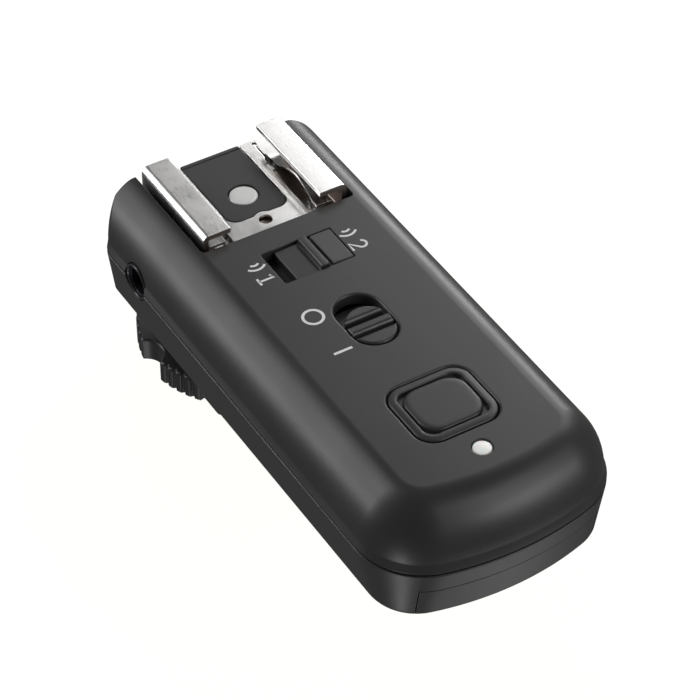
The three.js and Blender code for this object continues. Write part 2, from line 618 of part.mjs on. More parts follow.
function antennaWire() {
  const bend = 1.5;
  const x = 11.2;
  const z = BOARD_TOP + 1.4;
  const route = new THREE.CurvePath();
  const point = (a, b) => new THREE.Vector3(a, b, z);
  route.add(new THREE.LineCurve3(point(4.5, -21.5), point(x - bend, -21.5)));
  route.add(new THREE.QuadraticBezierCurve3(point(x - bend, -21.5), point(x, -21.5), point(x, -21.5 - bend)));
  route.add(new THREE.LineCurve3(point(x, -21.5 - bend), point(x, -26.5)));
  const section = new THREE.Shape().absarc(0, 0, 0.4, 0, 2 * Math.PI, false);
  const options = { steps: 16, curveSegments: 5, extrudePath: route, bevelEnabled: false };
  const wire = new THREE.ExtrudeGeometry(section, options);
  const foot = discZ(0.4, [BOARD_TOP + GAP, z], [4.5, -21.5], 10);
  return toSolid(wire).add(foot).add(discZ(0.4, [z - 0.4, z + 0.4], [4.5, -21.5], 10));
}

add("circuit_board", circuitBoard(), BOARD_GREEN);
add("radio_shield", boxOnBoard([-11.6, -3.4], [-41, -33], 1.7), DULL_METAL);
add("controller_chip", boxOnBoard([4.2, 9.6], [-40.5, -35.1], 0.9), BLACK_PLASTIC);
add("crystal", boxOnBoard([4.6, 9.4], [-44.4, -42.2], 1.3), DULL_METAL);
add("antenna", antennaWire(), DULL_METAL);
add("trigger_thyristor", boxOnBoard([-11.2, -5.4], [-18.4, -13.2], 2.1), BLACK_PLASTIC);
add("capacitor", discZ(2.4, [BOARD_TOP + GAP, -3.2], [8.4, -15.4], 24), DULL_METAL);

// A folded strip from the shoe contact's tail to the board.
function contactStrip() {
  const top = [[1.4, -6.3], [1.4, -5.9], [-9.2, -5.9], [-9.6, -5.5], [-12.4, -5.5]];
  return lengthways(polygon([...top, [-12.4, -5.9], [-9.8, -5.9], [-9.4, -6.3]]), [-1.2, 1.2]);
}

add("contact_strip", contactStrip(), GOLD);

// ---------------------------------------------------------------- power: cell and its contacts
const CELL_BOTTOM = BOTTOM + DOOR_SHEET + GAP;
const CELL_TOP = CELL_BOTTOM + CELL.height;

function coinCell() {
  const r = CELL.radius;
  const step = CELL_BOTTOM + 0.4; // the smaller pole stands below the can's rim
  const cap = [[0, CELL_BOTTOM], [r - 1.6, CELL_BOTTOM], [r - 1.3, step], [r - 0.3, step]];
  const can = [[r, step + 0.4], [r, CELL_TOP - 0.3], [r - 0.3, CELL_TOP], [0, CELL_TOP]];
  const profile = [...cap, ...can];
  return turned(profile, [0, CELL.y], 40);
}

// The middle contact: a tongue pressing down on the cell and a tail up to the board.
function middleContact() {
  const y = [CELL.y - 1.6, CELL.y + 1.6];
  const sheet = 0.3;
  const tail = BOARD_BOTTOM - GAP;
  const under = [[-3.5, CELL_TOP + 0.3], [-2.5, CELL_TOP + 0.1], [-1.5, CELL_TOP + 0.3], [5.4, -10.75]];
  const upright = [[5.7, -10.75], [5.7, tail], [5.3, tail], [5.3, -10.45]];
  const over = under.slice(0, 3).reverse().map(([x, z]) => [x, z + sheet]);
  return sideways(polygon([...under, ...upright, ...over]), y);
}

function rimContact() {
  const y = [CELL.y - 1.8, CELL.y + 1.8];
  return box([-10.7, -10.35], y, [CELL_BOTTOM + 0.3, BOARD_BOTTOM - GAP]);
}

add("coin_cell", coinCell(), BRIGHT_METAL);
add("cell_middle_contact", middleContact(), BRIGHT_METAL);
add("cell_rim_contact", rimContact(), BRIGHT_METAL);

// ---------------------------------------------------------------- sync socket
const JACK_FACE = -HALF_WIDTH + 0.25;

function syncSocket() {
  const at = [JACK.y, JACK.z];
  const body = box([-13.5, -3.4], [JACK.y - 3, JACK.y + 3], [JACK.z - 2.5, JACK.z + 2.3]);
  const nose = discX(JACK.collar - 0.35, [JACK_FACE + 0.3, -13.4], at);
  return body.add(nose).subtract(discX(JACK.bore, [JACK_FACE - 2, -4.6], at));
}

function syncCollar() {
  const at = [JACK.y, JACK.z];
  const ring = discX(JACK.collar, [JACK_FACE, -14.6], at, 24);
  return ring.subtract(discX(JACK.collar - 0.3, [JACK_FACE - 2, -14], at, 24));
}

add("sync_socket", syncSocket(), BLACK_PLASTIC);
add("sync_collar", syncCollar(), DULL_METAL);

// ---------------------------------------------------------------- foot, post and locking wheel
const FLANGE_BOTTOM = FLOOR_TOP + GAP;
const NECK_TOP = FOOT.bottom + FOOT.sheet + 1.0;

// A threaded post: rings of a fine thread stand for the helix.
function footPost() {
  const top = FLANGE_BOTTOM + FLANGE.sheet;
  const low = NECK_TOP + GAP;
  const profile = [[0, low], [POST_RADIUS - 0.3, low]];
  const pitch = 1.5;
  for (let z = low; z + pitch < BOTTOM - 2.4; z += pitch) {
    profile.push([POST_RADIUS, z + pitch * 0.4], [POST_RADIUS, z + pitch * 0.6]);
    profile.push([POST_RADIUS - 0.3, z + pitch]);
  }
  profile.push([POST_RADIUS - 0.3, top], [0, top]);
  let post = turned(profile, [0, 0], 24);
  post = post.add(prism(roundedRectangle(FLANGE.x, FLANGE.y, FLANGE.corner), [FLANGE_BOTTOM, top]));
  for (const at of POST_SCREWS) post = post.subtract(discZ(1.1, [FLANGE_BOTTOM - 1, top + 1], at, 12));
  for (const at of FOOT_SCREWS) post = post.subtract(discZ(0.95, [low - 1, low + 6], at, 12));
  return post.subtract(discZ(1.7, [low - 1, top + 1], [0, 0], 20));
}

function shoeFoot() {
  const x = FOOT.width / 2;
  const y = FOOT.length / 2;
  const plate = prism(roundedRectangle([-x, x], [-y, y], 0.8), [FOOT.bottom, FOOT.bottom + FOOT.sheet]);
  const neck = FOOT.neck / 2;
  const neckShape = roundedRectangle([-neck, neck], [-neck, neck], 1.5);
  let foot = plate.add(prism(neckShape, [FOOT.bottom + 0.5, NECK_TOP]));
  for (const at of FOOT_SCREWS) {
    const z = FOOT.bottom;
    const sink = [[0, z - 1], [1.75, z - 1], [1.75, z], [1.15, z + 1.0], [1.15, z + 6], [0, z + 6]];
    foot = foot.subtract(turned(sink, at, 12));
  }
  return foot.subtract(discZ(1.15, [LOWEST - 1, NECK_TOP + 1], [0, 0], 20));
}

function footContact() {
  const z = LOWEST;
  const stop = NECK_TOP + GAP; // a collar keeps the pin from falling out
  const profile = [
    [0, z],
    [0.6, z],
    [0.9, z + 0.3],
    [0.9, stop],
    [1.4, stop],
    [1.4, stop + 0.8],
    [0, stop + 0.8],
  ];
  return turned(profile, [0, 0], 20);
}

// The coil that pushes the foot contact down.
function contactSpring() {
  const turns = 5;
  const z = [NECK_TOP + GAP + 1.4, -16.6];
  class Helix extends THREE.Curve {
    getPoint(t) {
      const angle = 2 * Math.PI * turns * t;
      return new THREE.Vector3(1.15 * Math.cos(angle), 1.15 * Math.sin(angle), z[0] + (z[1] - z[0]) * t);
    }
  }
  const section = new THREE.Shape().absarc(0, 0, 0.2, 0, 2 * Math.PI, false);
  const options = { steps: 50, curveSegments: 3, extrudePath: new Helix(), bevelEnabled: false };
  return toSolid(new THREE.ExtrudeGeometry(section, options));
}

function wheelOutline() {
  const half = Math.acos(
    (WHEEL.radius ** 2 + SCALLOP_CENTRE ** 2 - SCALLOP_RADIUS ** 2) / (2 * WHEEL.radius * SCALLOP_CENTRE),
  );
  const polar = (radius, angle) => new THREE.Vector2(radius * Math.cos(angle), radius * Math.sin(angle));
  const points = [];
  for (let lobe = 0; lobe < SCALLOPS; lobe += 1) {
    const start = (lobe * 2 * Math.PI) / SCALLOPS;
    const centre = polar(SCALLOP_CENTRE, start);
    const sweep = Math.atan2(WHEEL.radius * Math.sin(half), SCALLOP_CENTRE - WHEEL.radius * Math.cos(half));
    const steps = 6;
    for (let i = 0; i <= steps; i += 1) {
      const angle = start + Math.PI + sweep * (1 - (2 * i) / steps);
      points.push(centre.clone().add(polar(SCALLOP_RADIUS, angle)));
    }
    const middle = start + Math.PI / SCALLOPS;
    for (let rib = 0; rib < RIBS; rib += 1) {
      const at = middle + (rib - (RIBS - 1) / 2) * RIB_PITCH;
      if (rib > 0) points.push(polar(WHEEL.trough, at - 0.42 * RIB_PITCH));
      points.push(polar(WHEEL.radius, at - 0.26 * RIB_PITCH), polar(WHEEL.radius, at + 0.26 * RIB_PITCH));
      if (rib + 1 < RIBS) points.push(polar(WHEEL.trough, at + 0.42 * RIB_PITCH));
    }
  }
  return new THREE.Shape(points);
}

const WASHER = { radius: 9.2, sheet: 0.6, bottom: FOOT.bottom + FOOT.sheet + 1.5 };

function lockWheel() {
  const bore = POST_RADIUS + RUN;
  let wheel = prism(wheelOutline(), [WHEEL.bottom, WHEEL.top]);
  wheel = wheel.subtract(discZ(bore, [WHEEL.bottom - 1, WHEEL.top + 1], [0, 0], 28));
  const dish = discZ(12.0, [WHEEL.top - 0.6, WHEEL.top + 1], [0, 0], 36);
  const hub = discZ(8.4, [WHEEL.top - 2, WHEEL.top], [0, 0], 32).subtract(discZ(bore, [-30, 0], [0, 0], 28));
  const seatTop = WASHER.bottom + WASHER.sheet + GAP;
  const seat = discZ(WASHER.radius + GAP, [WHEEL.bottom - 1, seatTop], [0, 0], 32);
  return wheel.subtract(dish).add(hub).subtract(seat);
}

function lockWasher() {
  const ring = discZ(WASHER.radius, [WASHER.bottom, WASHER.bottom + WASHER.sheet], [0, 0], 32);
  return ring.subtract(discZ(POST_RADIUS + RUN, [-30, -20], [0, 0], 28));
}

add("foot_post", footPost(), DULL_METAL);
POST_SCREWS.forEach((at, i) => {
  const top = FLANGE_BOTTOM + FLANGE.sheet + GAP + 0.9;
  const solid = screw({ at, top, length: 4.2, shank: 0.75, head: 1.7, headHeight: 0.9 });
  add(`post_screw_${i + 1}`, solid, DULL_METAL);
});
add("shoe_foot", shoeFoot(), BLACK_PLASTIC);
FOOT_SCREWS.forEach((at, i) => {
  const head = { top: FOOT.bottom + 0.05, shank: 0.8, head: 1.45, headHeight: 0.75 };
  add(`foot_screw_${i + 1}`, screw({ at, length: 7.5, countersunk: true, up: true, ...head }), DULL_METAL);
});
add("foot_contact", footContact(), GOLD);
add("foot_contact_spring", contactSpring(), BRIGHT_METAL);
add("lock_wheel", lockWheel(), BLACK_PLASTIC);
add("lock_washer", lockWasher(), DULL_METAL);

// The origin is the middle of the footprint, level with the lowest point.
const extent = new THREE.Box3().setFromObject(trigger);
const middle = extent.getCenter(new THREE.Vector3());
trigger.position.set(-middle.x, -middle.y, -extent.min.z);

export default trigger;
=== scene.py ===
"""The looks of the wireless flash trigger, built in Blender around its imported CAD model.

Sizes are in millimetres in the layout frame, where x = y = 0 is the axis that the shoe, the foot and the
wheel share, z = 0 is the flat top of the case, +Y is the shoe end and -Y the battery end. place() turns
them into metres in the row frame.
"""

import math

import bpy
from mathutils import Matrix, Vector


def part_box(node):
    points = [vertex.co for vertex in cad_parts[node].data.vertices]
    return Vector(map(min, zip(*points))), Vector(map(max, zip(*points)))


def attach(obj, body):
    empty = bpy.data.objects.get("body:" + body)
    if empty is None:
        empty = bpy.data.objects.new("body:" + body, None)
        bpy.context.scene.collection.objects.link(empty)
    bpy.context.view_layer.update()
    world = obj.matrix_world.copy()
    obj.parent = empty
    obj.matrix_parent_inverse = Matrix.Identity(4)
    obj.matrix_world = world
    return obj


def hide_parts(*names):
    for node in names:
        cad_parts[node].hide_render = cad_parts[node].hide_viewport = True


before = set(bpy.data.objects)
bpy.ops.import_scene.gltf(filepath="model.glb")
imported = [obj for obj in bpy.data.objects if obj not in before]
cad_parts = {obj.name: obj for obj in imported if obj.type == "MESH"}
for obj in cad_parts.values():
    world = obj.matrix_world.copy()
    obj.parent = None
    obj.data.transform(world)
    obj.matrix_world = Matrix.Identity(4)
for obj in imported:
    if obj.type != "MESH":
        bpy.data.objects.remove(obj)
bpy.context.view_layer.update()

# ---- driving dimensions
MM = 0.001
GAP = 0.3
RUN = 0.16  # between round pieces that move
WALL = 1.6

HALF_WIDTH = 16.42  # of the case at the parting line
SHOE_END = 8.35
BOW_RADIUS = 40.0  # of the bowed end in plan
BATTERY_CORNER = 9.0  # at the parting line
TOP_CORNER = 2.7
BOTTOM_CORNER = 5.0
SHOE_CORNER = 2.8
PARTING = -8.58
BOTTOM = -16.3
SHOULDER_WIDTH = 5.54
SHOULDER_DROP = 7.3
SHOULDER_POWER = 1.84
TOP_DRAFT = 0.4
BOTTOM_DRAFT = 1.2
BOTTOM_ROUND = 0.8
END_ROUND = 0.35
UPPER_CLOSING = (BATTERY_CORNER - TOP_CORNER) / (TOP_DRAFT + SHOULDER_WIDTH)
LOWER_CLOSING = (BATTERY_CORNER - BOTTOM_CORNER) / (BOTTOM_DRAFT + BOTTOM_ROUND)
SEAM = 0.14
SEAM_ROUND = 0.16
REBATE = 0.8
REBATE_TOP = PARTING + 1.3

LIP_HALF = 6.35
SHOE_HALF = 10.2
SHEET = 0.75
LIP_TOP = 1.55
LIP_Y = (-8.14, 7.67)
PLATE_TOP = -1.72
PLATE_SHEET = 0.35
SHOE_FLOOR = PLATE_TOP - PLATE_SHEET - GAP
POCKET_FLOOR = SHOE_FLOOR - SHEET - GAP
RECESS_HALF = 10.8
RECESS_END = -8.98
PAD = {"half": 4.25, "near": -4.3, "far": 8.9, "corner": 1.5, "far_corner": 0.3}
PIN_HOLE = {"y": -5.6, "radius": 0.88, "lobe": 1.55}
LEAF = {"root": 5.0, "peak": -2.0, "tip": -7.0, "length": 14.2, "height": 1.9, "tip_height": 0.3}
LEAF_SIDES = (6.5, 8.7)

RIM = {"pocket": 0.12, "window": 0.10, "slot": 0.30, "button": 0.34, "lamp": 0.08}
OPENING_DEPTH = -4
WINDOW_HALF = 4.95
WINDOW_Y = (-19.0, -12.78)
CHANNEL_TRAVEL = 1.7
SLOT_RADIUS = 3.0
SLOT_Y = (-34.2, -24.7)
POWER_TRAVEL = 2.3
BUTTON = {"y": -46.45, "width": 11.28, "length": 10.29, "corner": 2.6}
LED = {"y": -54.74, "radius": 1.15}
JACK = {"y": -0.95, "z": -8.25, "collar": 2.4, "depth": 14.6}
JACK_FACE = -HALF_WIDTH + 0.25
SWITCH_BASE = (-2.7, -1.9)  # heights of the plate under each slider and the button
SWITCH_FORK = (-4.0, -2.5)  # heights of the fork that holds a switch's lever
FORK_SLOT = (-5, -3.0)
# Rings of the button's top: inset from its opening, extra corner radius, height.
BUTTON_SECTION = [
    (0.70, 0.0, 0.07),
    (1.05, 0.0, 0.10),
    (1.20, 0.0, 0.04),
    (1.28, 0.0, -0.45),
    (1.44, 1.1, -0.45),
    (1.50, 1.3, -0.02),
    (1.60, 1.3, 0.09),
    (1.85, 1.3, 0.14),
    (2.40, 1.3, 0.15),
]

DOOR_HALF = 12.3
DOOR_Y = -35.0
DOOR_TOP = -11.5
DOOR_SHEET = 1.3
DOOR_GROOVES = {"count": 4, "start": 5, "pitch": 1.4, "half": 0.35, "length": 10}
CELL = {"radius": 10.0, "y": -47.6}
TRAY_CEILING = -10.4
TRAY_SHEET = 0.9
FLANGE = {"x": (-9.5, 9.5), "y": (-9.4, 5.6), "corner": 1.0, "sheet": 1.1}
COLLAR = {"radius": 8.0, "depth": 1.7}

WHEEL = {"radius": 14.4, "trough": 14.08, "top": -21.6, "bottom": -25.0}
SCALLOPS = 8
SCALLOP_RADIUS = 2.7
SCALLOP_CENTRE = 15.4
RIBS = 5
RIB_PITCH = math.radians(5.6)
POST_RADIUS = 5.9
THREAD = {"pitch": 1.5, "depth": 0.3, "steps": 40, "rings": 64}
FOOT = {"width": 18.6, "length": 18.0, "sheet": 1.9, "bottom": -28.5, "neck": 12.2}
NECK_TOP = FOOT["bottom"] + FOOT["sheet"] + 1.0
PIN_PROUD = 0.5

CASE_SCREWS = [(-12.2, 4.4), (12.2, 4.4), (-12.2, -30.5), (12.2, -30.5)]
SHOE_SCREWS = [(-6.4, -5.6), (6.4, -5.6), (-6.4, 4.6), (6.4, 4.6)]
POST_SCREWS = [(-7.6, -7.2), (7.6, -7.2), (-7.6, 4.0), (7.6, 4.0)]
FOOT_SCREWS = [(-2.9, -2.9), (2.9, -2.9), (-2.9, 2.9), (2.9, 2.9)]

# The layout frame's origin in the row frame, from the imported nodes.
contact_low, contact_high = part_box("shoe_contact")
AXIS_X = (contact_low.x + contact_high.x) / 2
AXIS_Y = (contact_low.y + contact_high.y) / 2
FLAT_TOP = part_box("top_shell")[1].z
BATTERY_END = (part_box("bottom_shell")[0].y - AXIS_Y) / MM


def place(x, y, z):
    """A point of the layout frame, in metres in the row frame."""
    return Vector((AXIS_X + x * MM, AXIS_Y + y * MM, FLAT_TOP + z * MM))


# ---- camera
CAMERA_AZIMUTH = math.radians(-31.235)
CAMERA_ELEVATION = math.radians(42.70)
CAMERA_DISTANCE = 0.35427
CAMERA_LENS = 155.1
CAMERA_SENSOR = 36
CAMERA_AIM = (-4.45, -33.11, 0)


def add_camera():
    """The camera at the object's left, above its near end."""
    level = math.cos(CAMERA_ELEVATION)
    across = math.sin(CAMERA_AZIMUTH) * level
    along = -math.cos(CAMERA_AZIMUTH) * level
    back = Vector((across, along, math.sin(CAMERA_ELEVATION)))
    data = bpy.data.cameras.new("camera")
    data.lens = CAMERA_LENS
    data.sensor_width = CAMERA_SENSOR
    data.clip_start = 0.01
    data.clip_end = 20
    camera = bpy.data.objects.new("camera", data)
    bpy.context.scene.collection.objects.link(camera)
    camera.location = place(*CAMERA_AIM) + back * CAMERA_DISTANCE
    camera.rotation_mode = "QUATERNION"
    camera.rotation_quaternion = (-back).to_track_quat("-Z", "Y")
    bpy.context.scene.camera = camera


# ---- node materials
NOISE_ROUGHNESS = 0.55


class Nodes:
    """Short names for building one material's node tree."""

    def __init__(self, name):
        self.material = bpy.data.materials.new(name)
        self.material.use_nodes = True
        self.tree = self.material.node_tree
        self.shader = self.tree.nodes["Principled BSDF"]
        self.where = self.add("ShaderNodeTexCoord").outputs["Object"]

    def add(self, kind, **settings):
        node = self.tree.nodes.new(kind)
        for key, value in settings.items():
            setattr(node, key, value)
        return node

    def link(self, source, target):
        self.tree.links.new(source, target)

    def noise(self, per_mm, detail=3.0, stretch=(1, 1, 1)):
        """Noise with about per_mm lumps to the millimetre."""
        mapping = self.add("ShaderNodeMapping")
        mapping.inputs["Scale"].default_value = stretch
        self.link(self.where, mapping.inputs["Vector"])
        noise = self.add("ShaderNodeTexNoise")
        noise.inputs["Scale"].default_value = per_mm / MM
        noise.inputs["Detail"].default_value = detail
        noise.inputs["Roughness"].default_value = NOISE_ROUGHNESS
        self.link(mapping.outputs["Vector"], noise.inputs["Vector"])
        return noise.outputs["Fac"]

    def span(self, source, low, high, start=0.3, end=0.7):
        """source from start..end to low..high, clamped."""
        node = self.add("ShaderNodeMapRange")
        node.inputs["From Min"].default_value = start
        node.inputs["From Max"].default_value = end
        node.inputs["To Min"].default_value = low
        node.inputs["To Max"].default_value = high
        self.link(source, node.inputs["Value"])
        return node.outputs["Result"]

    def blend(self, share, first, second):
        """A colour that goes from first to second by share; each is a colour or a socket."""
        node = self.add("ShaderNodeMix", data_type="RGBA")
        for index, value in ((6, first), (7, second)):
            if isinstance(value, tuple):
                node.inputs[index].default_value = (*value, 1)
            else:
                self.link(value, node.inputs[index])
        self.link(share, node.inputs[0])
        return node.outputs[2]

    def math(self, operation, first, second):
        """One sum of two values; each is a number or a socket."""
        node = self.add("ShaderNodeMath", operation=operation)
        for index, value in ((0, first), (1, second)):
            if isinstance(value, float):
                node.inputs[index].default_value = value
            else:
                self.link(value, node.inputs[index])
        return node.outputs[0]

    def edges(self, radius):
        """1 along outer and inner edges, 0 on open faces, and the normal rounded by that radius."""
        rounded = self.add("ShaderNodeBevel", samples=4)
        rounded.inputs["Radius"].default_value = radius * MM
        geometry = self.add("ShaderNodeNewGeometry")
        dot = self.add("ShaderNodeVectorMath", operation="DOT_PRODUCT")
        self.link(rounded.outputs["Normal"], dot.inputs[0])
        self.link(geometry.outputs["Normal"], dot.inputs[1])
        return self.span(dot.outputs["Value"], 1.0, 0.0, 0.80, 0.99), rounded.outputs["Normal"]

    def bump(self, height, depth, strength, normal=None):
        """Raises the surface by height, depth millimetres at most."""
        node = self.add("ShaderNodeBump")
        node.inputs["Strength"].default_value = strength
        node.inputs["Distance"].default_value = depth * MM
        self.link(height, node.inputs["Height"])
        if normal is not None:
            self.link(normal, node.inputs["Normal"])
        self.link(node.outputs["Normal"], self.shader.inputs["Normal"])

    def finish(self, colour, roughness, metallic=0.0, **sockets):
        """Links the shader's colour and roughness, sets its other sockets, and gives the material."""
        self.link(colour, self.shader.inputs["Base Color"])
        self.link(roughness, self.shader.inputs["Roughness"])
        self.shader.inputs["Metallic"].default_value = metallic
        for key, value in sockets.items():
            self.shader.inputs[key.replace("_", " ")].default_value = value
        return self.material


def plastic(name, colour, roughness, grain=0.006, wear_and_glint_amount=0.5, edge=0.12):
    """Moulded plastic: fine spark-eroded grain, faint cloudiness, and edges lighter and a little less rough
    in patches, partly rubbed wear and partly a painted highlight.
    """
    nodes = Nodes(name)
    cloud = nodes.noise(0.07, 2.0)
    grit = nodes.noise(9.0, 4.0)
    edge_mask, normal = nodes.edges(edge)
    # Patches along the edges painted lighter: partly rubbed wear, partly a painted highlight on the rounded
    # edges.
    wear_and_glint_share = nodes.math("MULTIPLY", edge_mask, nodes.span(nodes.noise(0.9, 4.0), 0.0, wear_and_glint_amount, 0.35, 0.65))
    dark = tuple(c * 0.90 for c in colour)
    light = tuple(c * 1.10 for c in colour)
    wear_and_glint_colour = tuple(min(c * 1.6 + 0.01, 1) for c in colour)
    body = nodes.blend(nodes.span(cloud, 0.0, 1.0), dark, light)
    body = nodes.blend(nodes.span(grit, 0.0, 0.22), body, light)
    # The lighter edge colour: worn plastic together with a painted edge highlight.
    body = nodes.blend(wear_and_glint_share, body, wear_and_glint_colour)
    matte = nodes.span(cloud, roughness - 0.03, roughness + 0.03)
    matte = nodes.math("ADD", matte, nodes.span(grit, -0.03, 0.03))
    matte = nodes.math("SUBTRACT", matte, nodes.math("MULTIPLY", wear_and_glint_share, 0.12))
    nodes.bump(grit, grain, 0.5, normal)
    return nodes.finish(body, matte)


def metal(name, colour, roughness, brush=(1, 1, 1), grain=0.004, per_mm=4.0, edge=0.06):
    """Plated or bare metal: brushed or rolled streaks, light smudges, and a painted highlight that lightens
    every edge.
    """
    nodes = Nodes(name)
    smudge = nodes.noise(0.25, 3.0)
    streak = nodes.noise(per_mm, 3.0, stretch=brush)
    edge_mask, normal = nodes.edges(edge)
    dull = tuple(c * 0.86 for c in colour)
    edge_highlight_colour = tuple(min(c * 1.12, 1) for c in colour)
    body = nodes.blend(nodes.span(smudge, 0.0, 1.0), dull, colour)
    body = nodes.blend(nodes.span(streak, 0.0, 0.35), body, dull)
    # Painted highlight: the colour lightens along every edge.
    body = nodes.blend(nodes.math("MULTIPLY", edge_mask, 0.7), body, edge_highlight_colour)
    matte = nodes.span(smudge, roughness, roughness + 0.08)
    matte = nodes.math("ADD", matte, nodes.span(streak, -0.03, 0.05))
    nodes.bump(streak, grain, 0.35, normal)
    return nodes.finish(body, matte, 1.0)


def laminate(name):
    """Circuit board: solder mask over woven glass, with copper tracks showing through."""
    nodes = Nodes(name)
    wave = nodes.add("ShaderNodeTexWave", wave_type="BANDS", bands_direction="DIAGONAL")
    wave.inputs["Scale"].default_value = 0.35 / MM
    wave.inputs["Distortion"].default_value = 3.0
    nodes.link(nodes.where, wave.inputs["Vector"])
    track = nodes.span(wave.outputs["Fac"], 0.0, 1.0, 0.72, 0.78)
    body = nodes.blend(track, (0.008, 0.075, 0.03), (0.02, 0.16, 0.06))
    weave = nodes.noise(2.5, 2.0)
    nodes.bump(track, 0.03, 0.6)
    return nodes.finish(body, nodes.span(weave, 0.3, 0.45))


def lens(name):
    """Milky lamp lens, a little translucent."""
    nodes = Nodes(name)
    haze = nodes.noise(1.2, 2.0)
    body = nodes.blend(nodes.span(haze, 0.0, 1.0), (0.86, 0.86, 0.84), (0.93, 0.93, 0.92))
    nodes.bump(haze, 0.004, 0.3)
    return nodes.finish(
        body,
        nodes.span(haze, 0.22, 0.34),
        Subsurface_Weight=0.35,
        Subsurface_Scale=0.4 * MM,
        Emission_Color=(1, 1, 0.98, 1),
        Emission_Strength=0.12,
    )


CASE = plastic("case_plastic", (0.026, 0.026, 0.026), 0.41)
BLACK = plastic("black_plastic", (0.020, 0.020, 0.021), 0.48)
SWITCH = plastic("switch_plastic", (0.026, 0.026, 0.026), 0.40, edge=0.10)
WHEEL_BLACK = plastic("wheel_plastic", (0.022, 0.022, 0.023), 0.42, edge=0.14)
# Black plastic of the sync socket, made darker than the other blacks as painted shade of its bore.
JACK_SHADE_BLACK = plastic("jack_plastic_painted_shade", (0.010, 0.009, 0.014), 0.35)
COLLAR_BLACK = plastic("collar_plastic", (0.030, 0.030, 0.034), 0.28, edge=0.15)
PAD_BLACK = plastic("pad_plastic", (0.030, 0.030, 0.030), 0.5, edge=0.2)
CHROME = metal("shoe_chrome", (0.80, 0.79, 0.78), 0.16, brush=(6, 0.4, 6))
LIP_CHROME = metal("lip_chrome", (0.80, 0.79, 0.78), 0.24, brush=(8, 0.3, 8), edge=0.1)
# A darker, browner copy of the shoe's chrome: painted shade for the faces inside the channel and under its
# lips.
SHOE_INSIDE_SHADE = metal("shoe_inside_painted_shade", (0.36, 0.30, 0.27), 0.3, brush=(4, 0.5, 4))
SILVER = metal("contact_silver", (0.74, 0.74, 0.73), 0.5, grain=0.01, per_mm=14.0)
GOLD = metal("contact_gold", (0.83, 0.62, 0.28), 0.25)
STEEL = metal("screw_steel", (0.60, 0.59, 0.58), 0.28)
CELL_STEEL = metal("cell_steel", (0.72, 0.72, 0.70), 0.22)
POST_METAL = metal("post_metal", (0.52, 0.52, 0.53), 0.34)
BOARD = laminate("board_laminate")
LENS = lens("lamp_lens")
PRINT = plastic("legend_print", (0.80, 0.80, 0.79), 0.55, grain=0.002, wear_and_glint_amount=0.0)


# ---- outlines
def arc(x, y, radius, start, end, steps):
    """Points of an arc in plan; angles in degrees."""
    points = []
    for i in range(steps + 1):
        angle = math.radians(start + (end - start) * i / steps)
        points.append((x + radius * math.cos(angle), y + radius * math.sin(angle)))
    return points


def circle(radius, x=0.0, y=0.0, steps=40):
    """A whole circle in plan, anticlockwise."""
    return arc(x, y, radius, 0, 360, steps)[:-1]


def rounded_box(x, y, radius, steps=6, far=None):
    """A rectangle with round corners, anticlockwise; far is the radius of the two at the +Y end."""
    radius = max(radius, 0.01)
    far = radius if far is None else max(far, 0.01)
    points = arc(x[1] - radius, y[0] + radius, radius, -90, 0, steps)
    points += arc(x[1] - far, y[1] - far, far, 0, 90, steps)
    points += arc(x[0] + far, y[1] - far, far, 90, 180, steps)
    points += arc(x[0] + radius, y[0] + radius, radius, 180, 270, steps)
    return points


def stadium(radius, y, steps=18):
    """Two half circles joined by straight sides, along Y."""
    points = arc(0, y[0] + radius, radius, 180, 360, steps)
    return points + arc(0, y[1] - radius, radius, 0, 180, steps)


def button_outline(inset, extra_corner=0.0):
    """The button's opening drawn in by inset, its corners rounder by extra_corner."""
    x = BUTTON["width"] / 2 - inset
    y = BUTTON["length"] / 2 - inset
    corner = BUTTON["corner"] - inset + extra_corner
    return rounded_box((-x, x), (BUTTON["y"] - y, BUTTON["y"] + y), corner, 10)


def case_outline(inset, end_inset=0.0, closing=UPPER_CLOSING, corner_steps=16, bow_steps=48):
    """The case in plan, drawn in by inset from its widest outline at the parting line.

    The upright corners of the bowed end lose closing millimetres of radius for each one of inset.
    """
    half = HALF_WIDTH - inset
    end = SHOE_END - end_inset
    centre_y = BATTERY_END + BOW_RADIUS
    bow = BOW_RADIUS - inset
    near = max(BATTERY_CORNER - inset * closing, 0.25)
    far = max(SHOE_CORNER - inset, 0.25)
    corner_x = half - near
    corner_y = centre_y - math.sqrt((bow - near) ** 2 - corner_x**2)
    meet = math.degrees(math.atan2(corner_y - centre_y, corner_x))
    points = arc(corner_x, corner_y, near, meet, 0, corner_steps)
    points += arc(half - far, end - far, far, 0, 90, 10)
    points += arc(far - half, end - far, far, 90, 180, 10)
    points += arc(-corner_x, corner_y, near, 180, 180 - meet, corner_steps)
    return points + arc(0, centre_y, bow, -180 - meet, meet, bow_steps)[1:-1]


# ---- meshes
def level(points, z):
    """A plan outline at one height."""
    return [(x, y, z) for x, y in points]


def skin(rings):
    """Vertices and faces of a closed skin through rings with the same number of points, lowest first."""
    count = len(rings[0])
    vertices = [point for ring in rings for point in ring]
    faces = [tuple(reversed(range(count)))]
    for first in range(0, (len(rings) - 1) * count, count):
        for i in range(count):
            j = (i + 1) % count
            faces.append((first + i, first + j, first + j + count, first + i + count))
    last = (len(rings) - 1) * count
    faces.append(tuple(range(last, last + count)))
    return vertices, faces


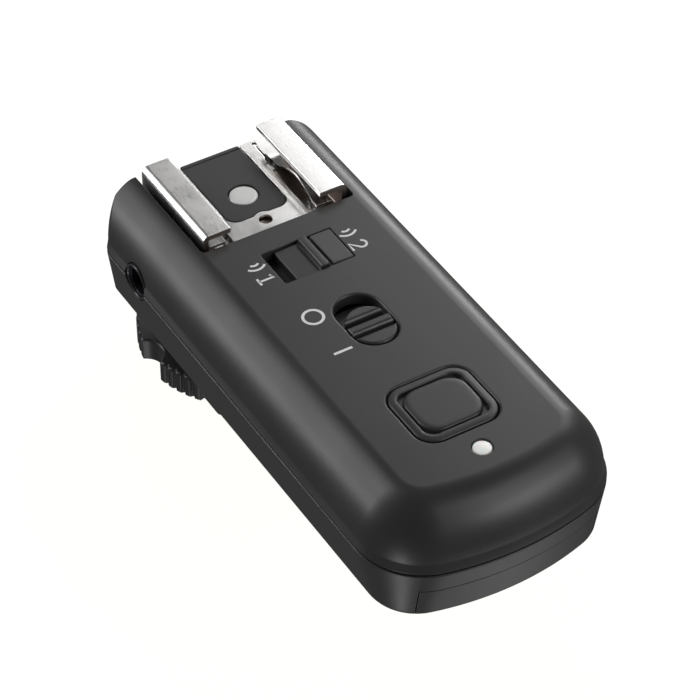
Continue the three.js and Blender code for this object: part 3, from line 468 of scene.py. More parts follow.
def slab(outline, low, high, bottom=0.0, top=0.0, steps=4):
    """Rings of a plate whose outline is outline(inset), with its lower and upper edges rounded."""
    rings = []
    for i in range(steps + 1 if bottom else 1):
        angle = math.pi / 2 * i / steps
        rings.append(level(outline(bottom * (1 - math.sin(angle))), low + bottom * (1 - math.cos(angle))))
    for i in range(steps + 1 if top else 1):
        angle = math.pi / 2 * i / steps
        rings.append(level(outline(top * (1 - math.cos(angle))), high - top * (1 - math.sin(angle))))
    return rings


def flare(outline, low, high, rim, steps=4):
    """Rings of a cutter for an opening whose rim is rounded outwards where it meets the face at high."""
    rings = [level(outline(0), low)]
    for i in range(steps + 1):
        angle = math.pi / 2 * i / steps
        rings.append(level(outline(-rim * (1 - math.cos(angle))), high - rim + rim * math.sin(angle)))
    rings.append(level(outline(-rim), high + 2))
    return rings


def lathe(profile, x=0.0, y=0.0, steps=40):
    """Rings of a turned solid from (radius, height) points, lowest first."""
    return [level(circle(max(radius, 0.002), x, y, steps), z) for radius, z in profile]


def along_x(rings):
    """Turns rings drawn upright, as (y, z, x), into rings along X."""
    return [[(z, x, y) for x, y, z in ring] for ring in rings]


def make(name, rings):
    """An object from rings, in place and with no material yet."""
    vertices, faces = skin(rings)
    mesh = bpy.data.meshes.new(name)
    mesh.from_pydata([place(*v) for v in vertices], [], faces)
    mesh.validate()
    made = bpy.data.objects.new(name, mesh)
    bpy.context.scene.collection.objects.link(made)
    return made


def apply_modifiers(piece):
    """Gives a piece the mesh that its modifiers make."""
    graph = bpy.context.evaluated_depsgraph_get()
    graph.update()
    made = bpy.data.meshes.new_from_object(piece.evaluated_get(graph))
    piece.modifiers.clear()
    piece.data = made


def combine(piece, others, operation="DIFFERENCE"):
    """Cuts the others from a piece, or joins or intersects them with it, and removes them."""
    for other in others:
        modifier = piece.modifiers.new("combine", "BOOLEAN")
        modifier.operation = operation
        modifier.solver = "EXACT"
        modifier.object = other
    apply_modifiers(piece)
    for other in others:
        bpy.data.objects.remove(other)
    return piece


def box(name, x, y, z):
    """A block between two values along each axis."""
    outline = [(x[0], y[0]), (x[1], y[0]), (x[1], y[1]), (x[0], y[1])]
    return make(name, [level(outline, z[0]), level(outline, z[1])])


# Solids that are joined to a piece or cut from it, and then removed.
def block(x, y, z):
    return box("cutter", x, y, z)


def prism(outline, low, high):
    return make("cutter", [level(outline, low), level(outline, high)])


def turned(profile, x=0.0, y=0.0, steps=40):
    return make("cutter", lathe(profile, x, y, steps))


def opening(outline, low, high, rim, steps=4):
    return make("cutter", flare(outline, low, high, rim, steps))


def soften(piece, angle=32.0, edge=0.0):
    """Smooth shading with crisp edges; edge also rounds the crisp ones by that many millimetres."""
    if edge:
        bevel = piece.modifiers.new("edge", "BEVEL")
        bevel.width = edge * MM
        bevel.segments = 2
        bevel.limit_method = "ANGLE"
        bevel.angle_limit = math.radians(angle)
        bevel.use_clamp_overlap = True
        apply_modifiers(piece)
    for polygon in piece.data.polygons:
        polygon.use_smooth = True
    piece.data.set_sharp_from_angle(angle=math.radians(angle))
    normals = piece.modifiers.new("normals", "WEIGHTED_NORMAL")
    normals.keep_sharp = True
    normals.weight = 80


def finish_piece(piece, body, material, stands_for=(), angle=32.0, edge=0.0):
    """Shading, finish, and the CAD body and nodes that a piece belongs to."""
    soften(piece, angle, edge)
    piece.data.materials.clear()
    piece.data.materials.append(material)
    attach(piece, body)
    if stands_for:
        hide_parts(*stands_for)
    return piece


# ---- the case
def upper_rings(thickness, low, steps, rounded=False):
    """The upper half of the case, from low to the flat top, grown inwards by thickness."""
    rings = []
    if rounded:
        for i in range(4):
            turn = math.pi / 2 * i / 4
            inset = SEAM_ROUND * (1 - math.sin(turn))
            rings.append(level(case_outline(inset, inset), low + SEAM_ROUND * (1 - math.cos(turn))))
        low += SEAM_ROUND
    rings.append(level(case_outline(thickness, thickness), low))
    for i in range(steps + 1):
        angle = math.pi / 2 * i / steps
        across = 1 - max(math.cos(angle), 0) ** (2 / SHOULDER_POWER)
        z = SHOULDER_DROP * (math.sin(angle) ** (2 / SHOULDER_POWER) - 1)
        inset = TOP_DRAFT + SHOULDER_WIDTH * across + thickness
        near_top = min(max(1 + z / END_ROUND, 0), 1)
        end = END_ROUND * (1 - math.sqrt(1 - near_top**2)) + thickness
        rings.append(level(case_outline(inset, end), z - thickness))
    return rings


def lower_rings(thickness, high, steps, rounded=False):
    """The lower half of the case, from the flat underside to high, grown inwards by thickness."""
    rings = []
    for i in range(steps + 1):
        angle = math.pi / 2 * i / steps
        inset = BOTTOM_DRAFT + BOTTOM_ROUND * (1 - math.sin(angle)) + thickness
        z = BOTTOM + BOTTOM_ROUND * (1 - math.cos(angle)) + thickness
        rings.append(level(case_outline(inset, inset - BOTTOM_DRAFT, LOWER_CLOSING), z))
    if not rounded:
        return rings + [level(case_outline(thickness, thickness, LOWER_CLOSING), high)]
    for i in range(5):
        turn = math.pi / 2 * i / 4
        inset = SEAM_ROUND * (1 - math.cos(turn))
        z = high - SEAM_ROUND * (1 - math.sin(turn))
        rings.append(level(case_outline(inset, inset, LOWER_CLOSING), z))
    return rings


def jack_cutter():
    """The round opening of the sync socket, through the left wall."""
    outline = circle(JACK["collar"] + RUN, JACK["y"], JACK["z"], 40)
    return make("cutter", along_x([level(outline, -HALF_WIDTH - 1), level(outline, -11)]))


def top_shell():
    """The upper half of the case, with the shoe pocket and the openings of the switches, button and lamp."""
    cavity = make("cutter", upper_rings(WALL, PARTING - 1, 16))
    pocket = block((-12, 12), (RECESS_END - 1.2, SHOE_END), (POCKET_FLOOR - 1.2, 1))
    combine(cavity, [pocket])
    step = [level(case_outline(REBATE, REBATE), z) for z in (PARTING - 1, REBATE_TOP)]
    shell = make("case_top", upper_rings(0, PARTING + SEAM, 44, True))
    combine(shell, [cavity, make("cutter", step)])

    def pocket_outline(inset):
        x = RECESS_HALF - inset
        return rounded_box((-x, x), (RECESS_END + inset, SHOE_END + 9), 0.6)

    def window_outline(inset):
        return rounded_box(
            (-WINDOW_HALF + inset, WINDOW_HALF - inset), (WINDOW_Y[0] + inset, WINDOW_Y[1] - inset), 0.35
        )

    def slot_outline(inset):
        return stadium(SLOT_RADIUS - inset, (SLOT_Y[0] + inset, SLOT_Y[1] - inset))

    def lamp_outline(inset):
        return circle(LED["radius"] + RUN - inset, 0, LED["y"], 36)

    cuts = [
        opening(pocket_outline, POCKET_FLOOR, 0, RIM["pocket"]),
        opening(window_outline, OPENING_DEPTH, 0, RIM["window"]),
        opening(slot_outline, OPENING_DEPTH, 0, RIM["slot"]),
        opening(button_outline, OPENING_DEPTH, 0, RIM["button"], 6),
        opening(lamp_outline, OPENING_DEPTH, 0, RIM["lamp"]),
        turned([(3.1, POCKET_FLOOR - 2), (3.1, 0)]),
        jack_cutter(),
    ]
    combine(shell, cuts)
    finish_piece(shell, "housing", CASE, ["top_shell"], angle=28)


def bottom_shell():
    """The lower half of the case, with the battery bay, the foot's collar and the screw wells."""
    cavity = make("cutter", lower_rings(WALL, PARTING + 1, 4))
    tray = block((-13.6, 13.6), (BATTERY_END - 1, DOOR_Y + 1.2), (BOTTOM, TRAY_CEILING + TRAY_SHEET))
    bosses = [turned([(2.3, BOTTOM), (2.3, PARTING + 2)], x, y) for x, y in CASE_SCREWS]
    combine(cavity, [tray, *bosses])
    shell = make("case_bottom", lower_rings(0, PARTING - SEAM, 6, True))
    combine(shell, [cavity])
    pad = rounded_box(FLANGE["x"], FLANGE["y"], FLANGE["corner"])
    collar = [(COLLAR["radius"], BOTTOM - 1.5), (COLLAR["radius"], BOTTOM + 0.4)]
    joined = [
        prism(pad, BOTTOM - 1, BOTTOM + 0.5),
        turned([(COLLAR["radius"] - 0.2, BOTTOM - COLLAR["depth"]), *collar]),
    ]
    combine(shell, joined, "UNION")
    floor = BOTTOM + DOOR_SHEET + GAP
    cell_well = CELL["radius"] + 0.35
    cuts = [
        block((-DOOR_HALF, DOOR_HALF), (BATTERY_END - 1, DOOR_Y), (BOTTOM - 1, floor)),
        block((-DOOR_HALF, DOOR_HALF), (BATTERY_END - 1, BATTERY_END + 4.4), (BOTTOM - 1, DOOR_TOP)),
        turned([(cell_well, BOTTOM), (cell_well, TRAY_CEILING)], 0, CELL["y"]),
        block((-4.2, 4.2), (BATTERY_END - 1, CELL["y"]), (BOTTOM, DOOR_TOP - 0.6)),
        block((3.4, 6.2), (CELL["y"] - 3, CELL["y"] + 3), (BOTTOM, PARTING + 1)),
        block((-11.0, -9.5), (CELL["y"] - 2.1, CELL["y"] + 2.1), (floor, PARTING + 1)),
        turned([(POST_RADIUS + GAP, BOTTOM - 5), (POST_RADIUS + GAP, BOTTOM + 5)]),
        jack_cutter(),
    ]
    for x, y in POST_SCREWS:
        cuts.append(turned([(0.85, BOTTOM - 0.7), (0.85, BOTTOM + 5)], x, y, 20))
    for x, y in CASE_SCREWS:
        rings = [(2.25, BOTTOM - 1), (2.25, BOTTOM), (2.0, BOTTOM + 0.25), (2.0, BOTTOM + 3.2)]
        cuts.append(turned([*rings, (1.3, BOTTOM + 3.2), (1.3, PARTING + 3)], x, y, 32))
    combine(shell, cuts)
    finish_piece(shell, "housing", CASE, ["bottom_shell"], angle=28)


def battery_door():
    """The cover that wraps the bowed end, with its finger grooves underneath."""
    x = (-DOOR_HALF + RUN, DOOR_HALF - RUN)
    plate = box("battery_cover", x, (BATTERY_END - 1, DOOR_Y - RUN), (BOTTOM - 1, BOTTOM + DOOR_SHEET))
    end = block(x, (BATTERY_END - 1, BATTERY_END + 4.1), (BOTTOM - 1, DOOR_TOP - RUN))
    combine(plate, [end], "UNION")
    combine(plate, [make("cutter", lower_rings(0, PARTING, 6))], "INTERSECT")
    hollow = make("cutter", lower_rings(DOOR_SHEET, DOOR_TOP + 3, 3))
    inside = (-DOOR_HALF + 1.2, DOOR_HALF - 1.2)
    limits = block(inside, (BATTERY_END, BATTERY_END + 9), (BOTTOM, DOOR_TOP))
    combine(hollow, [limits], "INTERSECT")
    grooves = []
    across = DOOR_GROOVES["length"] / 2
    half = DOOR_GROOVES["half"]
    for i in range(DOOR_GROOVES["count"]):
        y = DOOR_Y - DOOR_GROOVES["start"] - i * DOOR_GROOVES["pitch"]
        groove = rounded_box((-across, across), (y - half, y + half), 0.34)
        grooves.append(prism(groove, BOTTOM - 1, BOTTOM + 0.35))
    combine(plate, [hollow, *grooves])
    finish_piece(plate, "battery_door", CASE, ["battery_door"], angle=28, edge=0.10)


# ---- fasteners
def screw(name, at, top, length, shank, head, head_height, countersunk=False, up=False):
    """A cross-head screw that points down, or up."""
    side = 1 if up else -1
    if countersunk:
        profile = [(head - 0.06, 0), (head, 0.05), (shank, head_height), (shank, length)]
    else:
        profile = [(head * 0.62, 0), (head * 0.9, head_height * 0.22), (head, head_height * 0.5)]
        profile += [(head, head_height), (shank, head_height), (shank, length)]
    rings = lathe([(radius, top + side * depth) for radius, depth in profile], *at, 28)
    piece = make(name, rings if up else rings[::-1])
    arm = head * 0.62
    slot = head * 0.14
    deep = head_height * 0.6
    for half_x, half_y in ((arm, slot), (slot, arm)):
        outlines = []
        for depth, share in ((-1, 1.25), (0, 1.0), (deep, 0.7)):
            corners = [(-1, -1), (1, -1), (1, 1), (-1, 1)]
            slit = [(at[0] + i * half_x * share, at[1] + j * half_y * share) for i, j in corners]
            outlines.append(level(slit, top + side * depth))
        combine(piece, [make("cutter", outlines if up else outlines[::-1])])
    return piece


def screws():
    """The screws whose heads can be seen from outside."""
    for i, at in enumerate(CASE_SCREWS, 1):
        piece = screw(f"case_bolt_{i}", at, BOTTOM + 1.4, 8.4, 0.7, 1.75, 1.4, up=True)
        finish_piece(piece, "housing", STEEL, [f"case_screw_{i}"])
    for i, at in enumerate(SHOE_SCREWS, 1):
        piece = screw(f"shoe_bolt_{i}", at, SHOE_FLOOR - 0.05, 3.0, 0.8, 1.7, 0.7, countersunk=True)
        finish_piece(piece, "housing", STEEL, [f"shoe_screw_{i}"])
    for i, at in enumerate(FOOT_SCREWS, 1):
        top = FOOT["bottom"] + 0.05
        piece = screw(f"foot_bolt_{i}", at, top, 7.5, 0.8, 1.45, 0.75, countersunk=True, up=True)
        finish_piece(piece, "housing", STEEL, [f"foot_screw_{i}"])


# ---- accessory shoe
def bracket():
    """The folded channel, with rounded bends inside and out."""
    bend = 0.85
    low = SHOE_FLOOR - SHEET
    right = arc(SHOE_HALF - 0.3, low + 0.3, 0.3, -90, 0, 3)
    right += arc(SHOE_HALF - bend, LIP_TOP - bend, bend, 0, 90, 10)
    right += arc(LIP_HALF + 0.12, LIP_TOP - 0.12, 0.12, 90, 180, 3)
    right += arc(LIP_HALF + 0.12, LIP_TOP - SHEET + 0.12, 0.12, 180, 270, 3)
    inner = SHOE_HALF - SHEET
    right += arc(inner - 0.2, LIP_TOP - SHEET - 0.2, 0.2, 90, 0, 3)
    right += arc(inner - 0.2, SHOE_FLOOR + 0.2, 0.2, 0, -90, 3)
    left = [(-x, z) for x, z in reversed(right)]
    outline = right + left

    rings = [[(x, y, z) for x, z in outline] for y in LIP_Y]
    piece = make("shoe_channel", rings[::-1])
    gap = rounded_box((-4.3, 4.3), (-3.2, SHOE_END + 2), 0.8)
    cuts = [prism(gap, -5, LIP_TOP - 1.2)]
    for x, y in SHOE_SCREWS:
        sink = [(1.15, -6), (1.15, SHOE_FLOOR - 0.6), (1.95, SHOE_FLOOR + 0.02), (1.95, 0)]
        cuts.append(turned(sink, x, y, 28))
    combine(piece, cuts)
    finish_piece(piece, "housing", LIP_CHROME, ["shoe_bracket"], edge=0.05)
    # The faces inside the channel and under the lips take the darker copy of the chrome, as painted shade.
    piece.data.materials.append(SHOE_INSIDE_SHADE)
    lips = place(0, 0, LIP_TOP - SHEET - 0.05).z
    side = (SHOE_HALF - SHEET / 2) * MM
    for polygon in piece.data.polygons:
        middle = polygon.center
        if middle.z < lips and abs(middle.x - AXIS_X) < side:
            polygon.material_index = 1


def spring_plate():
    """The sprung plate with its pad window, pin hole, and a bowed leaf along each side."""
    low = PLATE_TOP - PLATE_SHEET
    outline = rounded_box((-9.0, 9.0), (RECESS_END + 0.45, 8.7), 0.5)
    piece = make("shoe_plate", [level(outline, low), level(outline, PLATE_TOP)])
    half = PAD["half"] + RUN
    window = rounded_box((-half, half), (PAD["near"] - RUN, 14), PAD["corner"] + RUN, 10)
    combine(piece, [prism(window, -4, 0)])
    lobe = circle(PIN_HOLE["lobe"], 0, PIN_HOLE["y"])
    combine(piece, [prism(lobe, low, PLATE_TOP)], "UNION")
    hole = circle(PIN_HOLE["radius"], 0, PIN_HOLE["y"])
    cuts = [prism(hole, -4, 0)]
    for side in (-1, 1):
        gap = [(5.45, -14), (14, -14), (14, 5.6), (6.3, 5.6), (6.3, 8.0), (6.0, 8.0), (6.0, 5.2), (5.45, 3.6)]
        gap = [(side * x, y) for x, y in gap][::side]
        cuts.append(prism(gap, -4, 0))
        relief = circle(0.35, side * 6.15, 8.0, 20)
        cuts.append(prism(relief, -4, 0))
    combine(piece, cuts)
    leaves = []
    for side in (-1, 1):
        rings = []
        for i in range(33):
            y = LEAF["tip"] + LEAF["length"] * i / 32
            left, right = sorted(side * x for x in LEAF_SIDES)
            corners = [(left, low), (right, low), (right, PLATE_TOP), (left, PLATE_TOP)]
            rings.append([(x, y, z + leaf_height(y)) for x, z in corners])
        leaves.append(make("cutter", rings[::-1]))
    combine(piece, leaves, "UNION")
    finish_piece(piece, "housing", CHROME, ["shoe_spring_plate"])


def leaf_height(y):
    """How far the sprung leaf stands over the plate at y: 0 where it is rooted, highest at its peak."""
    if y > LEAF["root"]:
        return 0.0
    if y > LEAF["peak"]:
        share = (LEAF["root"] - y) / (LEAF["root"] - LEAF["peak"])
        return LEAF["height"] * share * share * (3 - 2 * share)
    share = (LEAF["peak"] - y) / (LEAF["peak"] - LEAF["tip"])
    drop = LEAF["tip_height"] - LEAF["height"]
    return LEAF["height"] + drop * share * share * (3 - 2 * share)


def contact_pad():
    """The black insulator in the plate's window, with a fine groove near its far end."""

    def face(inset):
        x = PAD["half"] - inset
        y = (PAD["near"] + inset, PAD["far"] - inset)
        return rounded_box((-x, x), y, PAD["corner"] - inset, 10, PAD["far_corner"])

    piece = make("shoe_pad", slab(face, SHOE_FLOOR + 0.1, PLATE_TOP - 0.02, 0, 0.12))
    rim = (PAD["far"] - 0.78, PAD["far"] - 0.58)
    combine(piece, [block((-5, 5), rim, (PLATE_TOP - 0.14, 0))])
    root = block((-3.9, 3.9), (-2.9, SHOE_END + 0.4), (POCKET_FLOOR + GAP, SHOE_FLOOR + 0.2))
    combine(piece, [root], "UNION")

    def notch(inset):
        return circle(PIN_HOLE["lobe"] + RUN - inset, 0, PIN_HOLE["y"])

    def well(inset):
        return circle(2.0 - inset, 0, 0)

    cuts = [
        opening(notch, -9, PLATE_TOP - 0.02, 0.08),
        opening(well, -9, PLATE_TOP - 0.02, 0.05),
    ]
    combine(piece, cuts)
    finish_piece(piece, "housing", PAD_BLACK, ["contact_pad"])


def shoe_contact():
    """The round centre contact and its stem."""
    face = PLATE_TOP - 0.12
    profile = [(0.8, -5.6), (0.8, -3.2), (1.85, -3.2), (1.85, face - 0.12), (1.73, face - 0.02), (1.5, face)]
    piece = make("hot_contact", lathe([*profile, (0.9, face - 0.012)], steps=48))
    finish_piece(piece, "housing", SILVER, ["shoe_contact"])


# ---- switches and button
def channel_slider():
    """The cap of the channel switch: a flat tile with one ridge across, and its fork below."""
    right = WINDOW_HALF - RUN
    left = right - (2 * WINDOW_HALF - CHANNEL_TRAVEL - 2 * RUN)
    y = (WINDOW_Y[0] + RUN, WINDOW_Y[1] - RUN)
    section = [(left, -2.2), (right, -2.2), (right, -0.10), (right - 0.1, -0.02)]
    section += [(right - 2.75, 0.04), (right - 2.85, -0.02), (right - 2.95, -0.34)]
    section += [(1.42, -0.34), (1.36, 0.28), (1.26, 0.40), (1.12, 0.44), (0.52, 0.44), (0.38, 0.40)]
    section += [(0.28, 0.28), (0.12, -0.34), (left + 0.1, -0.40), (left, -0.5)]
    rings = []
    for inset, at in ((0.08, y[0]), (0.0, y[0] + 0.08), (0.0, y[1] - 0.08), (0.08, y[1])):
        rings.append([(x, at, max(z - inset, -2.2)) for x, z in section])
    piece = make("channel_knob", rings[::-1])
    base = block((left - 1.2, right + 0.6), (y[0] - 0.9, y[1] + 0.9), SWITCH_BASE)
    fork = block((-0.55, 2.15), (-16.9, -14.9), SWITCH_FORK)
    combine(fork, [block((0.25, 1.35), (-18, -13), FORK_SLOT)])
    combine(piece, [base, fork], "UNION")
    finish_piece(piece, "channel_slider", SWITCH, ["channel_slider"], angle=24)


def power_slider():
    """The cap of the power switch: a stadium with two finger grooves, and its fork below."""
    radius = SLOT_RADIUS - RUN
    y = (SLOT_Y[0] + RUN, SLOT_Y[1] - POWER_TRAVEL - RUN)

    def cap(inset):
        return stadium(radius - inset, (y[0] + inset, y[1] - inset))

    piece = make("power_knob", slab(cap, -2.4, 0.1, 0, 0.28))
    middle = (y[0] + y[1]) / 2
    cuts = []
    for offset, half, deep in ((1.35, 0.36, -0.90), (-0.85, 0.26, -0.70)):
        at = middle + offset
        flank = [(half * 0.7, deep), (half, -0.5), (half + 0.08, -0.22), (half + 0.22, -0.02)]
        flank += [(half + 0.42, 0.08), (half + 0.6, 0.12)]
        section = [(at + away, z) for away, z in flank] + [(at + flank[-1][0], 1), (at - flank[-1][0], 1)]
        section += [(at - away, z) for away, z in reversed(flank)]
        cuts.append(make("cutter", [[(x, p, z) for p, z in section] for x in (-5, 5)]))
    combine(piece, cuts)
    base = block((-4.6, 4.6), (SLOT_Y[0] - 0.9, SLOT_Y[1] - 0.4), SWITCH_BASE)
    fork_middle = (SLOT_Y[0] + SLOT_Y[1] - POWER_TRAVEL) / 2
    fork = block((-1, 1), (fork_middle - 1.35, fork_middle + 1.35), SWITCH_FORK)
    combine(fork, [block((-2, 2), (fork_middle - 0.55, fork_middle + 0.55), FORK_SLOT)])
    combine(piece, [base, fork], "UNION")
    finish_piece(piece, "power_slider", SWITCH, ["power_slider"], angle=24)


def test_button():
    """A rounded band, a groove that widens at the corners, and an almost flat middle."""
    rings = slab(lambda inset: button_outline(RUN + inset), -2.2, 0.0, 0, 0.22)
    rings += [level(button_outline(inset, corner), z) for inset, corner, z in BUTTON_SECTION]
    piece = make("test_key", rings)
    flange = make("cutter", [level(button_outline(-0.7), z) for z in SWITCH_BASE])
    stem = turned([(1.6, -3.0), (1.6, -2.5)], 0, BUTTON["y"])
    combine(piece, [flange, stem], "UNION")
    finish_piece(piece, "test_button", SWITCH, ["test_button"], angle=40)


def status_lamp():
    """The domed lamp in its hole."""
    r = LED["radius"]
    profile = [(1.55, -4.6), (1.55, -2.2), (r, -2.2), (r, -0.2)]
    for i in range(1, 7):
        angle = math.pi / 2 * i / 7
        profile.append((r * math.cos(angle) ** 0.8, -0.2 + 0.27 * math.sin(angle)))
    piece = make("lamp", lathe([*profile, (0.05, 0.075)], 0, LED["y"], 36))
    finish_piece(piece, "housing", LENS, ["status_lamp"])


# ---- sync socket
def sync_socket():
    """The collar round the sync socket; the socket itself is kept as the CAD made it."""
    centre = (JACK["y"], JACK["z"])
    outer, inner = JACK["collar"], JACK["collar"] - 0.3
    profile = [(outer, -JACK["depth"]), (outer, JACK_FACE + 0.1), (outer - 0.08, JACK_FACE)]
    ring = make("jack_collar", along_x([level(circle(r, *centre), x) for r, x in profile[::-1]]))
    hole = [(inner + 0.1, JACK_FACE - 1), (inner + 0.1, JACK_FACE), (inner, JACK_FACE + 0.12), (inner, -14)]
    combine(ring, [make("cutter", along_x([level(circle(r, *centre), x) for r, x in hole]))])
    finish_piece(ring, "housing", COLLAR_BLACK, ["sync_collar"])


# ---- foot, post and locking wheel
def foot_post():
    """The threaded post: a helical thread below the flange that the case screws hold."""
    pitch, depth, steps, count = THREAD.values()
    low, high = NECK_TOP + GAP, BOTTOM - 1.9
    rings = []
    for i in range(count + 1):
        z = low + (high - low) * i / count
        ring = []
        for k in range(steps):
            turn = k / steps
            phase = ((z - low) / pitch - turn) % 1.0
            crest = min(max(1.5 - abs(phase - 0.5) * 4.0, 0), 1)
            radius = POST_RADIUS - depth * (1 - crest)
            angle = 2 * math.pi * turn
            ring.append((radius * math.cos(angle), radius * math.sin(angle), z))
        rings.append(ring)
    top = BOTTOM + WALL + GAP + FLANGE["sheet"]
    rings += [level(circle(POST_RADIUS - depth, steps=steps), z) for z in (high + 0.1, top)]
    piece = make("thread_post", rings)
    flange = rounded_box(FLANGE["x"], FLANGE["y"], FLANGE["corner"])
    combine(piece, [make("cutter", [level(flange, top - FLANGE["sheet"]), level(flange, top)])], "UNION")
    cuts = [turned([(1.7, low - 1), (1.7, top + 1)])]
    cuts += [turned([(1.1, top - 2), (1.1, top + 1)], x, y, 20) for x, y in POST_SCREWS]
    cuts += [turned([(0.95, low - 1), (0.95, low + 6)], x, y, 20) for x, y in FOOT_SCREWS]
    combine(piece, cuts)
    finish_piece(piece, "housing", POST_METAL, ["foot_post"], angle=40)


def shoe_foot():
    """The foot that slides into a camera's shoe, with its neck and screw holes."""

    def plate(inset):
        x = FOOT["width"] / 2 - inset
        y = FOOT["length"] / 2 - inset
        return rounded_box((-x, x), (-y, y), 0.8 - inset * 0.5)

    def neck(inset):
        half = FOOT["neck"] / 2 - inset
        return rounded_box((-half, half), (-half, half), 1.5)

    low = FOOT["bottom"]
    piece = make("foot_plate", slab(plate, low, low + FOOT["sheet"], 0.22, 0.22))
    combine(piece, [make("cutter", slab(neck, low + 0.5, NECK_TOP))], "UNION")
    cuts = [turned([(1.35, low - 1), (1.35, low), (1.15, low + 0.2), (1.15, NECK_TOP + 1)])]
    for x, y in FOOT_SCREWS:
        sink = [(1.75, low - 1), (1.75, low), (1.15, low + 1.0), (1.15, low + 6)]
        cuts.append(turned(sink, x, y, 28))
    combine(piece, cuts)
    finish_piece(piece, "housing", WHEEL_BLACK, ["shoe_foot"])


def foot_contact():
    """The sprung contact pin under the foot."""
    low = FOOT["bottom"] - PIN_PROUD
    stop = NECK_TOP + GAP
    profile = [(0.35, low), (0.6, low + 0.06), (0.8, low + 0.18), (0.9, low + 0.36)]
    piece = make("foot_pin", lathe([*profile, (0.9, stop), (1.4, stop), (1.4, stop + 0.8)], steps=28))
    finish_piece(piece, "foot_contact", GOLD, ["foot_contact"])


def wheel_outline(shrink=0.0):
    """The wheel in plan: scallops for the fingers, with ribs on the lobes between them."""
    radius = WHEEL["radius"]
    half = math.acos((radius**2 + SCALLOP_CENTRE**2 - SCALLOP_RADIUS**2) / (2 * radius * SCALLOP_CENTRE))
    sweep = math.atan2(radius * math.sin(half), SCALLOP_CENTRE - radius * math.cos(half))
    points = []
    for lobe in range(SCALLOPS):
        start = lobe * 2 * math.pi / SCALLOPS
        centre = (SCALLOP_CENTRE * math.cos(start), SCALLOP_CENTRE * math.sin(start))
        inwards = start + math.pi
        ends = (math.degrees(inwards + sweep), math.degrees(inwards - sweep))
        points += arc(*centre, SCALLOP_RADIUS, *ends, 12)
        middle = start + math.pi / SCALLOPS
        for rib in range(RIBS):
            at = middle + (rib - (RIBS - 1) / 2) * RIB_PITCH
            steps = [(-0.42, WHEEL["trough"]), (-0.28, radius - 0.06), (-0.18, radius), (0.18, radius)]
            steps += [(0.28, radius - 0.06), (0.42, WHEEL["trough"])]
            if rib == 0:
                steps = steps[1:]
            if rib == RIBS - 1:
                steps = steps[:-1]
            for share, r in steps:
                angle = at + share * RIB_PITCH
                points.append((r * math.cos(angle), r * math.sin(angle)))
    scale = 1 - shrink / radius
    return [(x * scale, y * scale) for x, y in points]


def lock_wheel():
    """The locking wheel, with a dished top face and a well under it for the washer."""
    low, top = WHEEL["bottom"], WHEEL["top"]
    piece = make("wheel", slab(wheel_outline, low, top, 0.35, 0.35, 3))
    bore = POST_RADIUS + RUN
    seat = FOOT["bottom"] + FOOT["sheet"] + 1.5 + 0.6 + GAP
    cuts = [
        turned([(bore, low - 1), (bore, top + 1)], steps=48),
        turned([(9.5, low - 1), (9.5, seat)], steps=48),
    ]
    dish = turned([(11.8, top - 0.6), (12.0, top - 0.4), (12.2, top + 0.2)], steps=64)
    hub = [(8.6, top - 1), (8.4, top - 0.2), (8.2, top + 1)]
    combine(dish, [turned(hub, steps=48)])
    combine(piece, [*cuts, dish])
    finish_piece(piece, "lock_wheel", WHEEL_BLACK, ["lock_wheel"])


# ---- printed legends
PRINT_FOOT = 0.002  # of the ink over the flat top
PRINT_LIFT = 0.012
STROKE = 0.15  # of the ink, as a share of the mark's size


def ribbon(points, width, closed=False):
    """A flat stroke of that width through the points, as an outline list of quads."""
    quads = []
    count = len(points)
    sides = []
    for i, (x, y) in enumerate(points):
        before = points[i - 1] if i or closed else points[i]
        after = points[(i + 1) % count] if i + 1 < count or closed else points[i]
        dx, dy = after[0] - before[0], after[1] - before[1]
        length = math.hypot(dx, dy)
        nx, ny = -dy / length * width / 2, dx / length * width / 2
        sides.append(((x + nx, y + ny), (x - nx, y - ny)))
    for i in range(count if closed else count - 1):
        (a, b), (c, d) = sides[i], sides[(i + 1) % count]
        quads.append((a, b, d, c))
    return quads


def legend(name, strokes, centre, size):
    """Ink strokes drawn in a unit frame, x across and y up as it is read. It is read along -Y."""
    vertices, faces = [], []
    for points, closed in strokes:
        for quad in ribbon(points, STROKE, closed):
            first = len(vertices)
            for z in (PRINT_FOOT, PRINT_LIFT):
                for u, v in quad:
                    vertices.append((centre[0] + v * size, centre[1] - u * size, z))
            a, b, c, d = range(first, first + 4)
            faces += [(a, b, c, d), (d + 4, c + 4, b + 4, a + 4)]
            faces += [(b, a, a + 4, b + 4), (c, b, b + 4, c + 4), (d, c, c + 4, d + 4), (a, d, d + 4, a + 4)]
    mesh = bpy.data.meshes.new(name)
    mesh.from_pydata([place(*v) for v in vertices], [], faces)
    piece = bpy.data.objects.new(name, mesh)
    bpy.context.scene.collection.objects.link(piece)
    finish_piece(piece, "housing", PRINT)


def legends():
    """Generic marks only: a numeral after two waves for each channel, and the usual ring and bar."""
    waves = [(arc(-1.3, 0, radius, -48, 48, 10), False) for radius in (0.34, 0.74)]
    one = [([(0.14, 0.30), (0.42, 0.5), (0.42, -0.5)], False), ([(0.12, -0.5), (0.72, -0.5)], False)]
    curve = arc(0.44, 0.2, 0.3, 165, -38, 12)
    two = [(curve + [(0.10, -0.5), (0.78, -0.5)], False)]
    ring = [(circle(0.5, 0, 0, 40), True)]
    bar = [([(0, 0.5), (0, -0.5)], False)]
    legend("legend_channel_1", waves + one, (-6.5, -16.3), 2.1)
    legend("legend_channel_2", waves + two, (6.3, -16.5), 2.1)
    legend("legend_off", ring, (-5.2, -25.9), 2.5)
    legend("legend_on", bar, (-5.2, -32.8), 2.5)


